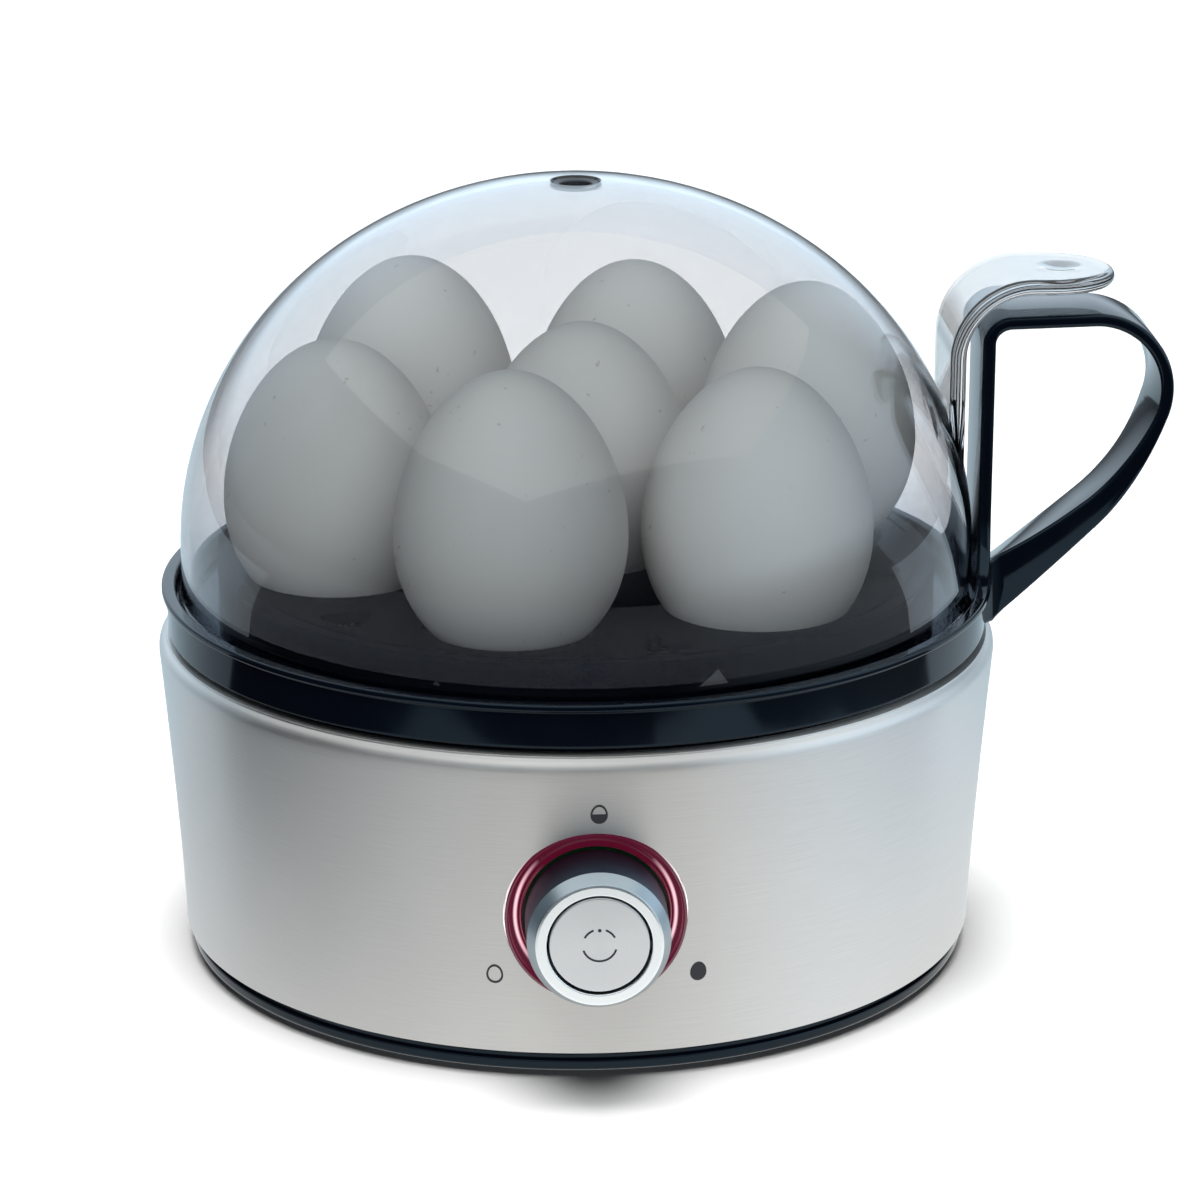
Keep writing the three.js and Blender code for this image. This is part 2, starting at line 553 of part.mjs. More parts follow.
function addWiring(group) {
  place(group, 'terminal_block', block(-TERMINALS.halfX, TERMINALS.halfX,
    TERMINALS.y0, TERMINALS.y1, TERMINALS.z0, TERMINALS.z1), LED_WHITE);
  const end = Math.PI / 2 - ELEMENT.gapAngle;
  const endX = ELEMENT.ringR * Math.cos(end);
  const endY = ELEMENT.ringR * Math.sin(end);
  const routes = {
    lead_live: [[-7, 49.6, 13], [-16, 25, 10], [-17, -25, 10], [-13, -50, 19], [-12.6, -63.4, 27]],
    lead_heater_switched: [
      [-endX, endY, 24.2], [-13, 27, 15], [-21, -10, 15], [-20, -45, 20], [-20, -63.4, 28]],
    lead_heater_neutral: [[endX, endY, 24.2], [9.5, 38, 15], [8, 46, 13], [7, 49.6, 13]],
    lead_sensor: [[8.5, 5, 39.4], [12, -9, 37], [15, -27, 30], [13, -50, 27], [12.6, -63.4, 27]],
  };
  for (const [name, points] of Object.entries(routes)) {
    const curve = new THREE.CatmullRomCurve3(points.map((p) => new THREE.Vector3(...p)));
    place(group, name, tube(curve, LEAD.r, LEAD.steps), WIRE);
  }
}

// ---------- Knob and button ----------

function addKnob(group) {
  place(group, 'knob_ring', turnedAboutY([
    [KNOB.hubInnerR, KNOB.hubBackY],
    [KNOB.hubOuterR, KNOB.hubBackY],
    [KNOB.hubOuterR, KNOB.webBackY],
    [KNOB.r - KNOB.wall, KNOB.webBackY],
    [KNOB.r - KNOB.wall, KNOB.backY],
    [KNOB.r, KNOB.backY],
    [KNOB.r, KNOB.shoulderY],
    [KNOB.faceR, KNOB.frontY],
    [BUTTON.r + BUTTON.clearance, KNOB.frontY],
    [BUTTON.r + BUTTON.clearance, KNOB.webFrontY],
    [KNOB.hubInnerR, KNOB.webFrontY],
  ]), SILVER, [0, 0, KNOB.z]);
}

function addButton(group, housing) {
  const face = KNOB.frontY + BUTTON.setBack;
  const back = face + BUTTON.thick;
  const stemEnd = SWITCH.plungerY - BUTTON.travel - GAP;
  place(group, 'start_button', turnedAboutY([
    [0, face],
    [BUTTON.r - BUTTON.edge, face],
    [BUTTON.r, face + BUTTON.edge],
    [BUTTON.r, back],
    [BUTTON.stemR, back],
    [BUTTON.stemR, stemEnd],
    [0, stemEnd],
  ]), SILVER, [0, 0, KNOB.z]);
  place(housing, 'button_spring', spring(BUTTON_SPRING, 0).rotateX(Math.PI / 2), SCREW_STEEL,
    [0, BUTTON_SPRING.startY, KNOB.z]);
}

// ---------- Egg carrier and tray ----------

function handleSlab() {
  const h = HANDLE;
  const outline = new THREE.Shape();
  outline.moveTo(h.legX + h.rootFlare, h.rootZ);
  outline.lineTo(h.legX, h.rootFlareZ);
  outline.lineTo(h.legX, h.topZ - h.cornerR);
  outline.absarc(h.legX + h.cornerR, h.topZ - h.cornerR, h.cornerR, Math.PI, Math.PI / 2, true);
  outline.lineTo(h.bowX, h.bowZ + h.bowR);
  outline.absarc(h.bowX, h.bowZ, h.bowR, Math.PI / 2, h.bowEnd, true);
  outline.bezierCurveTo(...h.outerBend);
  outline.lineTo(h.rootX, h.rootZ);
  outline.closePath();

  const inX = h.legX + h.strip;
  const inR = h.bowR - h.strip;
  const inCorner = h.cornerR - h.strip + h.windowDrop;
  const inTop = h.topZ - h.strip + h.windowDrop;
  const window = new THREE.Path();
  window.moveTo(inX, h.rootTopZ);
  window.bezierCurveTo(...h.innerRoot);
  window.bezierCurveTo(...h.innerBend,
    h.bowX + inR * Math.cos(h.bowEnd), h.bowZ + inR * Math.sin(h.bowEnd));
  window.absarc(h.bowX, h.bowZ, inR, h.bowEnd, Math.PI / 2, false);
  window.lineTo(inX + inCorner, inTop);
  window.absarc(inX + inCorner, inTop - inCorner, inCorner, Math.PI / 2, Math.PI, false);
  window.closePath();
  outline.holes.push(window);
  return slabXZ(outline, h.width / 2);
}

function addCarrier(group) {
  const underFloor = RIM.floorZ - RIM.floorThick;
  const ring = solid(turned([
    [RIM.collarInnerR, RIM.bottomZ],
    [RIM.collarOuterR, RIM.bottomZ],
    [RIM.collarOuterR, underFloor],
    [RIM.wallInnerR, underFloor],
    [RIM.wallInnerR, RIM.wallBottomZ],
    [RIM.wallOuterR, RIM.wallBottomZ],
    [RIM.wallOuterR, RIM.beadZ],
    [RIM.beadR, RIM.beadZ + 0.3],
    [RIM.beadR, RIM.topZ - RIM.edge],
    [RIM.beadR - RIM.edge, RIM.topZ],
    [RIM.wallInnerR, RIM.topZ],
    [RIM.wallInnerR, RIM.floorZ],
    [RIM.shelfR, RIM.floorZ],
    [RIM.shelfR, underFloor],
    [RIM.collarInnerR, underFloor],
  ]));
  place(group, 'carrier_ring', surface(ring.add(solid(handleSlab()))), BLACK);
}

function addTray(group) {
  const { r, topZ, thick, skirtWall } = TRAY;
  const bottom = RIM.floorZ + 0.4;
  let tray = solid(turned([
    [0, topZ - thick],
    [r - skirtWall, topZ - thick],
    [r - skirtWall, bottom],
    [r, bottom],
    [r, topZ - TRAY.edge],
    [r - TRAY.edge, topZ],
    [0, topZ],
  ]));
  const seats = [{ x: 0, y: 0 }, ...around(SEAT.count, SEAT.ringR, SEAT.turn)];
  for (const { x, y } of seats) {
    tray = tray
      .add(solid(rod(SEAT.r + SEAT.wall, SEAT.bottomZ, topZ - 1, x, y, DISC)))
      .subtract(solid(rod(SEAT.r, SEAT.bottomZ - 1, topZ + 1, x, y, DISC)));
  }
  for (const { x, y, angle } of around(SEAT.count, STEAM_SLOT.ringR, SEAT.turn + Math.PI / SEAT.count)) {
    const slot = rod(STEAM_SLOT.r, topZ - 5, topZ + 1, 0, 0, 3)
      .rotateZ(angle - Math.PI / 2)
      .translate(x, y, 0);
    tray = tray.subtract(solid(slot));
  }
  place(group, 'egg_tray', surface(tray), BLACK);
}

// ---------- Lid ----------

// The lid's solid outline, shrunk by inset: a short straight wall below half an ellipse.
function domeProfile(inset, bottomZ, steps = 8) {
  const points = [[0, bottomZ], [DOME.r - inset, bottomZ]];
  for (let i = 0; i <= steps; i += 1) {
    const angle = Math.PI / 2 * i / steps;
    const r = i === steps ? 0 : (DOME.r - inset) * Math.cos(angle);
    points.push([r, DOME.springZ + (DOME.height - inset) * Math.sin(angle)]);
  }
  return points;
}

function lidTab() {
  const { innerX, thick, bottomZ, bendZ, bendR, tipX, width } = TAB;
  const side = new THREE.Shape();
  const bendX = innerX + bendR;
  side.moveTo(innerX, bottomZ);
  side.lineTo(innerX, bendZ);
  side.absarc(bendX, bendZ, bendR, Math.PI, Math.PI / 2, true);
  side.lineTo(tipX, bendZ + bendR);
  side.lineTo(tipX, bendZ + bendR - thick);
  side.lineTo(bendX, bendZ + bendR - thick);
  side.absarc(bendX, bendZ, bendR - thick, Math.PI / 2, Math.PI, false);
  side.lineTo(innerX + thick, bottomZ);
  side.closePath();

  const plan = new THREE.Shape();
  const half = width / 2;
  plan.moveTo(innerX - 5, -half);
  plan.lineTo(tipX - half, -half);
  plan.absarc(tipX - half, 0, half, -Math.PI / 2, Math.PI / 2, false);
  plan.lineTo(innerX - 5, half);
  plan.closePath();
  const planSlab = new THREE.ExtrudeGeometry(plan, { depth: 60, bevelEnabled: false, curveSegments: 12 })
    .translate(0, 0, bottomZ - 5);
  return solid(slabXZ(side, half)).intersect(solid(planSlab));
}

function addLid(group) {
  const dome = solid(turned(domeProfile(0, DOME.bottomZ)))
    .add(lidTab())
    .subtract(solid(turned(domeProfile(DOME.wall, DOME.bottomZ - 1))))
    .subtract(solid(rod(DOME.ventR, DOME.ventZ, DOME.springZ + DOME.height + 8, 0, 0, DISC)));
  place(group, 'lid_dome', surface(dome), CLEAR);
  const crown = DOME.springZ + DOME.height;
  place(group, 'lid_vent_bush', turned([
    [BUSH.boreR, crown - BUSH.bottomDrop],
    [BUSH.flangeR, crown - BUSH.bottomDrop],
    [BUSH.flangeR, crown - BUSH.flangeDrop],
    [BUSH.neckR, crown - BUSH.flangeDrop],
    [BUSH.neckR, crown - BUSH.topDrop],
    [BUSH.boreR, crown - BUSH.topDrop],
  ], DISC), DARK);
}

// ---------- Assembly ----------

const cooker = new THREE.Group();
const [housing, carrier, lid, knob, button] = Array.from({ length: 5 }, () => new THREE.Group());
cooker.add(housing, carrier, lid, knob, button);

addHousing(housing);
addPan(housing);
addHeater(housing);
addControls(housing);
addWiring(housing);
addKnob(knob);
addButton(button, housing);
addCarrier(carrier);
addTray(carrier);
addLid(lid);

// The origin is the middle of the whole object's box, at the level of the feet.
const handleReach = HANDLE.bowX + HANDLE.bowR;
cooker.position.set((SHELL.shoulderR - handleReach) / 2, -(KNOB.frontY + SHELL.shoulderR) / 2, 0);

export default cooker;
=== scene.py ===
"""Looks for the egg cooker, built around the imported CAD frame.

Lengths in the tables below are millimetres from the body axis, with z up from the table top.
Every piece is built in those millimetres and scaled to metres as its mesh is made.
"""
import json
import math

import bmesh
import bpy
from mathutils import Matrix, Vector


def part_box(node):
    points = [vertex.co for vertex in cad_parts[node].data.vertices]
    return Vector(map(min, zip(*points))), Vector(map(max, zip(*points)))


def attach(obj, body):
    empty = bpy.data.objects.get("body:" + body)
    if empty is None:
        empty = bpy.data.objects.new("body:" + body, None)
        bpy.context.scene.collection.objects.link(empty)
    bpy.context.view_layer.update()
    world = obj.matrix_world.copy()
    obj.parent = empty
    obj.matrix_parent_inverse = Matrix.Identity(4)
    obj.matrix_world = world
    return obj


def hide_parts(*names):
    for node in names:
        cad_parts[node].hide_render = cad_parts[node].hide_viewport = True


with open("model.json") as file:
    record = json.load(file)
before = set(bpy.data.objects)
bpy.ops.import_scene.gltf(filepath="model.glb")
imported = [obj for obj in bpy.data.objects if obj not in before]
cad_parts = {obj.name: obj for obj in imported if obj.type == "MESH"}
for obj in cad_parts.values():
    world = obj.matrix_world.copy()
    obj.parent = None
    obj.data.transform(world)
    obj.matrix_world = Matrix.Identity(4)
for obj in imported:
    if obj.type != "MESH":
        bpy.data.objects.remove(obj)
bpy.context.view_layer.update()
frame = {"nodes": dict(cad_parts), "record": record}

MM = 0.001
TURN = math.tau

# The body axis, the knob axis and the cord outlet's height come from the frame.
pan_low, pan_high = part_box("water_pan")
knob_low, knob_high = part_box("knob_ring")
gland_low, gland_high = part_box("cord_bushing")
AXIS = Vector(((pan_low[0] + pan_high[0]) / 2, (pan_low[1] + pan_high[1]) / 2, 0))
KNOB_Z = (knob_low[2] + knob_high[2]) / 2 / MM
KNOB_FRONT = (knob_low[1] - AXIS.y) / MM
GLAND_Z = (gland_low[2] + gland_high[2]) / 2 / MM
SHELL_R = (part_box("housing_shell")[1][0] - AXIS.x) / MM

# The steel skin widens from its foot to its shoulder, slowly at first.
SHELL = {"bottom_z": 6.0, "bottom_r": 85.8, "shoulder_z": 67.0, "shoulder_bend": 3.0, "flare": 1.25,
         "wall": 0.8, "window_r": 18.5, "gland_r": 5.3}
FEET_RING = 68.0
SCREW_RING = 72.0

# The ring that carries the tray, the tray, and its seven seats.
RIM = {"wall_in": 86.2, "wall_out": 88.0, "bead": 89.1, "low": 71.7, "bead_z": 79.7, "top": 81.2,
       "floor": 77.4}
TRAY = {"r": 77.0, "top": 85.6, "thick": 2.2, "collar": 1.6}
SEAT = {"ring": 52.0, "r": 16.5, "turn": math.radians(12.8), "steam_ring": 66.0}

# The lid is a dome on a short upright wall. The thumb tab's middle surface is at x, then bends out.
DOME = {"r": 84.8, "height": 77.95, "spring": 89.0, "bottom": 77.9, "wall": 1.9, "flange": 0.8, "vent": 5.0}
TAB = {"half": 14.5, "thick": 3.3, "x": 79.95, "low": 96.0, "bend_z": 130.3, "bend_r": 15.35,
       "tip_x": 114.3, "dimple_back": 11.6, "dimple_r": 5.0, "dimple": 0.75}

# The loop handle is one strip: up a leg, round a corner, over a top and a bow, and down a diagonal arm.
HANDLE = {"half": 10.3, "x": 86.0, "strip": 2.8, "foot": 80.4, "top": 138.6, "corner": 5.7, "edge": 0.9,
          "bow_x": 109.5, "bow_z": 122.1, "bow_r": 17.0, "bow_end": math.radians(-20),
          "ring_r": 87.4, "fillet": 15.0, "root_fillet": 3.6}
LEG_STEPS, CORNER_STEPS, TOP_STEPS, BOW_STEPS, ARM_STEPS, ROOT_STEPS = 40, 12, 8, 32, 24, 36

# The power symbol is a broken ring of three arcs (in degrees) with a dot in the upper gap.
POWER = {"r": 3.35, "line": 0.4, "arcs": [(198, 344), (111, 152), (28, 69)], "dot_r": 0.36, "dot_up": 3.1,
         "lift": 0.05, "thick": 0.3}

# The printed signs: how far round the shell and how far above the knob's axis each stands.
SIGNS = {"soft": (-20.4, -12.9), "medium": (0.5, 22.7), "hard": (20.9, -13.2)}
SIGN = {"half_wide": 1.72, "half_tall": 2.08, "taper": 0.09, "line": 0.44, "under": -0.1, "over": 0.04}

# The crowns of the eggs on the middle seat and the six round it.
EGG_TOPS = [136.0, 141.8, 138.6, 142.8, 135.6, 138.2, 135.2]
EGG_SIZE = {"wide": 47.5, "tall": 60.0, "blunt": 0.13, "middle_shift": 1.5}

# The room: azimuth and elevation of each glow, the cosine where it ends, and its strength.
WORLD_BASE = 0.06
WORLD_LOBES = [(77, 8, 0.6, 1.7), (180, 12, 0.2, 1.0), (180, 32, 0.6, 0.4), (-20, 40, 0.7, 0.25)]
WORLD_COLOUR = (0.78, 0.93, 1.06)
WORLD_SEEN = 1.2
HORIZON = {"below": 0.15, "low": -0.06, "high": 0.1}

# Lamps and the camera, in metres and degrees, placed from the body axis.
FLOOR_SUN = {"energy": 9.2, "spread": 46, "place": (0.0, 0.2, 1.2), "colour": (1.0, 1.0, 1.0)}
TOP_SUN = {"energy": 2.6, "spread": 90, "place": (-0.15, -1.0, 0.8), "colour": (0.9, 0.985, 1.0)}
FRONT_LAMP = {"energy": 9.0, "size": 0.5, "place": (0, -0.32, 0.7), "target": (0, -0.1, 0)}
CAMERA = {"lens": 123.93, "sensor": 36.0, "distance": 0.8934, "azimuth": -2.85, "elevation": 17.72,
          "target_z": 0.0745, "target_right": 0.0051}

# The lit panel above and the lit part of the table top, as corners in metres from the body axis.
CEILING = {"z": 1.13, "glow": 1.4,
           "corners": [(-1.38, 0.79), (-1.12, -0.7), (-0.53, -1.58), (1.2, -0.75), (1.2, 0.79)]}
TABLE_GLOW = {"z": 0.0005, "glow": 1.0,
              "corners": [(-0.2, -0.262), (0.076, -0.272), (0.08, -0.288), (0.185, -0.288),
                          (0.19, -0.215), (0.25, -0.13), (0.256, 0.03), (0.8, 0.04), (0.8, 0.9),
                          (-0.8, 0.9), (-0.8, 0.06), (-0.25, 0.04), (-0.195, 0.0)]}


# ---------------------------------------------------------------- mesh tools

def rounded(points, closed=True, step=math.radians(12)):
    """An outline whose corners [x, y, radius] are turned into arcs, with a point held beside each arc."""
    count = len(points)
    out = []
    for i, point in enumerate(points):
        here = Vector(point[:2])
        radius = point[2] if len(point) > 2 else 0.0
        if radius <= 0 or (not closed and i in (0, count - 1)):
            out.append(here)
            continue
        before = Vector(points[i - 1][:2]) - here
        after = Vector(points[(i + 1) % count][:2]) - here
        angle = before.angle(after)
        if math.pi - angle < 0.02:
            out.append(here)
            continue
        reach = radius / math.tan(angle / 2)
        reach = min(reach, before.length * 0.45, after.length * 0.45)
        radius = reach * math.tan(angle / 2)
        start = here + before.normalized() * reach
        end = here + after.normalized() * reach
        halfway = (before.normalized() + after.normalized()).normalized()
        centre = here + halfway * (radius / math.sin(angle / 2))
        sweep = math.pi - angle
        steps = max(2, math.ceil(sweep / step))
        turn = (start - centre).angle_signed(end - centre)
        hold = min(0.35, reach * 0.6)
        if before.length - reach > 3 * hold:
            out.append(start + before.normalized() * hold)
        for k in range(steps + 1):
            part = turn * k / steps
            arm = start - centre
            out.append(centre + Vector((arm.x * math.cos(part) + arm.y * math.sin(part),
                                        -arm.x * math.sin(part) + arm.y * math.cos(part))))
        if after.length - reach > 3 * hold:
            out.append(end + after.normalized() * hold)
    return [(p.x, p.y) for p in out]


def new_object(name, verts, faces, at=(0.0, 0.0, 0.0)):
    """A smooth closed mesh from points in mm, with its origin at the given point in mm."""
    origin = Vector(at)
    mesh = bpy.data.meshes.new(name)
    mesh.from_pydata([(Vector(v) - origin) * MM for v in verts], [], faces)
    work = bmesh.new()
    work.from_mesh(mesh)
    bmesh.ops.remove_doubles(work, verts=work.verts, dist=1e-7)
    bmesh.ops.recalc_face_normals(work, faces=work.faces)
    work.to_mesh(mesh)
    work.free()
    finish_shading(mesh)
    obj = bpy.data.objects.new(name, mesh)
    obj.location = AXIS + origin * MM
    bpy.context.scene.collection.objects.link(obj)
    return obj


def finish_shading(mesh, angle=math.radians(34)):
    """Smooth faces, with a hard edge wherever the turn is sharper than the angle."""
    mesh.shade_smooth()
    mesh.set_sharp_from_angle(angle=angle)


def revolve(name, outline, about="Z", segments=160, at=(0.0, 0.0, 0.0)):
    """Turns an outline of (radius, height) about a Z or Y axis through a point."""
    verts = []
    rings = []
    for r, h in outline:
        ring = []
        for k in range(1 if r < 1e-6 else segments):
            a = TURN * k / segments
            x, side = r * math.cos(a), r * math.sin(a)
            y, z = (side, h) if about == "Z" else (h, side)
            verts.append((at[0] + x, at[1] + y, at[2] + z))
            ring.append(len(verts) - 1)
        rings.append(ring)
    faces = []
    closed = outline[0][0] > 1e-6
    last = len(rings) if closed else len(rings) - 1
    for i in range(last):
        low, high = rings[i], rings[(i + 1) % len(rings)]
        for k in range(segments):
            n = (k + 1) % segments
            corners = [low[k % len(low)], low[n % len(low)], high[n % len(high)], high[k % len(high)]]
            face = list(dict.fromkeys(corners))
            if len(face) > 2:
                faces.append(face)
    return new_object(name, verts, faces, at)


def rod(radius, low, high):
    """The outline of a plain round bar between two heights."""
    return [(0, low), (radius, low), (radius, high), (0, high)]


def loft(name, sections, at=(0.0, 0.0, 0.0)):
    """Joins equal loops of points into a tube and closes both ends."""
    count = len(sections[0])
    verts = [p for loop in sections for p in loop]
    faces = [list(range(count)), list(range(len(verts) - count, len(verts)))]
    for i in range(len(sections) - 1):
        for k in range(count):
            n = (k + 1) % count
            faces.append([i * count + k, i * count + n, (i + 1) * count + n, (i + 1) * count + k])
    return new_object(name, verts, faces, at)


def gather(objects):
    """Makes one mesh object of several that don't touch."""
    first = objects[0]
    verts, faces = [], []
    for obj in objects:
        start = len(verts)
        verts += [obj.matrix_basis @ v.co for v in obj.data.vertices]
        faces += [[start + i for i in face.vertices] for face in obj.data.polygons]
    mesh = bpy.data.meshes.new(first.name)
    mesh.from_pydata(verts, [], faces)
    whole = bpy.data.objects.new(first.name, mesh)
    bpy.context.scene.collection.objects.link(whole)
    for obj in objects:
        bpy.data.objects.remove(obj)
    return whole


def boolean(obj, others, operation="DIFFERENCE"):
    """Cuts or joins other meshes that don't touch each other, which are used up."""
    other = gather(others)
    modifier = obj.modifiers.new("cut", "BOOLEAN")
    modifier.object = other
    modifier.operation = operation
    modifier.solver = "EXACT"
    bpy.context.view_layer.update()
    graph = bpy.context.evaluated_depsgraph_get()
    cut = obj.evaluated_get(graph)
    made = bpy.data.meshes.new_from_object(cut, preserve_all_data_layers=True, depsgraph=graph)
    obj.modifiers.clear()
    old = obj.data
    obj.data = made
    made.name = obj.name
    bpy.data.meshes.remove(old)
    bpy.data.objects.remove(other)
    finish_shading(made)
    return obj


def around(count, ring, start=0.0):
    """Even places on a ring: number, x, y and angle."""
    for k in range(count):
        a = start + TURN * k / count
        yield k, ring * math.cos(a), ring * math.sin(a), a


def lerp(a, b, t):
    return a + (b - a) * t


def bezier(p, t):
    """A point in the plane on the curve with four control points."""
    s = 1 - t
    weights = (s ** 3, 3 * s * s * t, 3 * s * t * t, t ** 3)
    return tuple(sum(w * q[i] for w, q in zip(weights, p)) for i in (0, 1))


def dress(obj, body, slot, material, *nodes):
    """Gives a piece its material and its body, and hides the CAD nodes that it stands for. The slot is not
    used.
    """
    obj.data.materials.clear()
    obj.data.materials.append(material)
    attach(obj, body)
    if nodes:
        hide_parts(*nodes)
    return obj


# ---------------------------------------------------------------- materials

class Nodes:
    """Short hand for building a node tree."""

    def __init__(self, tree):
        self.tree = tree

    def add(self, kind, **settings):
        node = self.tree.nodes.new(kind)
        for key, value in settings.items():
            setattr(node, key, value)
        return node

    def link(self, source, target):
        self.tree.links.new(source, target)

    def math(self, operation, a, b=None):
        node = self.add("ShaderNodeMath", operation=operation)
        for socket, value in zip(node.inputs, (a, b)):
            if value is None:
                continue
            if isinstance(value, (int, float)):
                socket.default_value = value
            else:
                self.link(value, socket)
        return node.outputs[0]

    def radial(self, a, b):
        """The distance from the axis that a and b are measured from."""
        square = self.math("ADD", self.math("MULTIPLY", a, a), self.math("MULTIPLY", b, b))
        return self.math("SQRT", square)

    def noise(self, vector, scale, detail=3.0, roughness=0.55):
        node = self.add("ShaderNodeTexNoise")
        node.inputs["Scale"].default_value = scale
        node.inputs["Detail"].default_value = detail
        node.inputs["Roughness"].default_value = roughness
        self.link(vector, node.inputs["Vector"])
        return node.outputs["Fac"]

    def remap(self, value, low, high, from_low=0.3, from_high=0.7):
        """Runs from low to high as the value goes between two ends, and stays there past them."""
        node = self.add("ShaderNodeMapRange", clamp=True)
        ends = {"From Min": from_low, "From Max": from_high, "To Min": low, "To Max": high}
        for name, number in ends.items():
            node.inputs[name].default_value = number
        self.link(value, node.inputs["Value"])
        return node.outputs["Result"]

    def mix_colour(self, factor, a, b):
        node = self.add("ShaderNodeMix", data_type="RGBA")
        self.link(factor, node.inputs["Factor"])
        for name, colour in (("A", a), ("B", b)):
            socket = next(s for s in node.inputs if s.name == name and s.type == "RGBA")
            if isinstance(colour, (tuple, list)):
                socket.default_value = (*colour, 1.0)
            else:
                self.link(colour, socket)
        return next(s for s in node.outputs if s.type == "RGBA")

    def mix_shader(self, factor, a, b):
        """Mixes two shaders into the material's surface."""
        node = self.add("ShaderNodeMixShader")
        for source, socket in zip((factor, a, b), node.inputs):
            self.link(source, socket)
        output = next(n for n in self.tree.nodes if n.type == "OUTPUT_MATERIAL")
        self.link(node.outputs[0], output.inputs["Surface"])

    def bump(self, height, strength, distance_mm):
        node = self.add("ShaderNodeBump")
        node.inputs["Strength"].default_value = strength
        node.inputs["Distance"].default_value = distance_mm * MM
        self.link(height, node.inputs["Height"])
        return node.outputs["Normal"]


def new_material(name):
    material = bpy.data.materials.new(name)
    material.use_nodes = True
    tree = material.node_tree
    shader = tree.nodes["Principled BSDF"]
    return material, Nodes(tree), shader


def set_values(shader, **values):
    """Sets the shader's own sockets, where _ in a key stands for a space."""
    for key, value in values.items():
        name = key.replace("_", " ")
        is_colour = isinstance(value, tuple) and len(value) == 3
        shader.inputs[name].default_value = (*value, 1.0) if is_colour else value


def object_mm(nodes):
    """The place on the piece, in mm from its own origin."""
    coords = nodes.add("ShaderNodeTexCoord")
    scale = nodes.add("ShaderNodeVectorMath", operation="SCALE")
    scale.inputs["Scale"].default_value = 1 / MM
    nodes.link(coords.outputs["Object"], scale.inputs[0])
    return scale.outputs[0]


def plastic(name, colour, roughness, grain_mm=0.4, bump_mm=0.004, level=0.5, spread=0.05, mottle=0.12,
            tint=(1.0, 1.0, 1.0)):
    """Moulded plastic, rubber or paint: a fine grain, uneven gloss and slight colour variation."""
    material, nodes, shader = new_material(name)
    place = object_mm(nodes)
    grain = nodes.noise(place, 1 / grain_mm, 4.0)
    cloud = nodes.noise(place, 0.07, 3.0)
    darker = tuple(c * (1 - mottle) for c in colour)
    lighter = tuple(min(1.0, c * (1 + mottle)) for c in colour)
    nodes.link(nodes.mix_colour(cloud, darker, lighter), shader.inputs["Base Color"])
    uneven = nodes.remap(cloud, roughness - spread, roughness + spread)
    nodes.link(uneven, shader.inputs["Roughness"])
    nodes.link(nodes.bump(grain, 0.6, bump_mm), shader.inputs["Normal"])
    set_values(shader, Specular_IOR_Level=level, Specular_Tint=tint)
    return material


def metal(name, colour, roughness, about=None, streak_mm=0.12, length=26.0, bump_mm=0.002,
          anisotropic=0.0, contrast=0.06):
    """Metal with fine brush lines round an axis, or an even cast grain when about is None."""
    material, nodes, shader = new_material(name)
    place = object_mm(nodes)
    parts = nodes.add("ShaderNodeSeparateXYZ")
    nodes.link(place, parts.inputs[0])
    if about:
        x, y, z = parts.outputs
        if about == "Z":
            angle = nodes.math("ARCTAN2", y, x)
            across = nodes.math("ADD", z, nodes.math("MULTIPLY", nodes.radial(x, y), 0.37))
        else:
            angle = nodes.math("ARCTAN2", z, x)
            across = nodes.math("ADD", y, nodes.radial(x, z))
        lines = nodes.add("ShaderNodeCombineXYZ")
        nodes.link(nodes.math("MULTIPLY", angle, length), lines.inputs[0])
        nodes.link(nodes.math("DIVIDE", across, streak_mm), lines.inputs[1])
        streaks = nodes.noise(lines.outputs[0], 1.0, 3.0, 0.6)
        tangent = nodes.add("ShaderNodeTangent", direction_type="RADIAL", axis=about)
        nodes.link(tangent.outputs[0], shader.inputs["Tangent"])
    else:
        streaks = nodes.noise(place, 1 / streak_mm, 4.0)
    cloud = nodes.noise(place, 0.03, 2.0)
    dark = tuple(c * (1 - contrast) for c in colour)
    light = tuple(min(1.0, c * (1 + contrast)) for c in colour)
    nodes.link(nodes.mix_colour(streaks, dark, light), shader.inputs["Base Color"])
    fine = nodes.math("MULTIPLY", streaks, 0.7)
    broad = nodes.math("MULTIPLY", cloud, 0.3)
    uneven = nodes.math("ADD", fine, broad)
    nodes.link(nodes.remap(uneven, roughness - 0.05, roughness + 0.05), shader.inputs["Roughness"])
    nodes.link(nodes.bump(streaks, 0.5, bump_mm), shader.inputs["Normal"])
    set_values(shader, Metallic=1.0, Anisotropic=anisotropic, Anisotropic_Rotation=0.25)
    return material


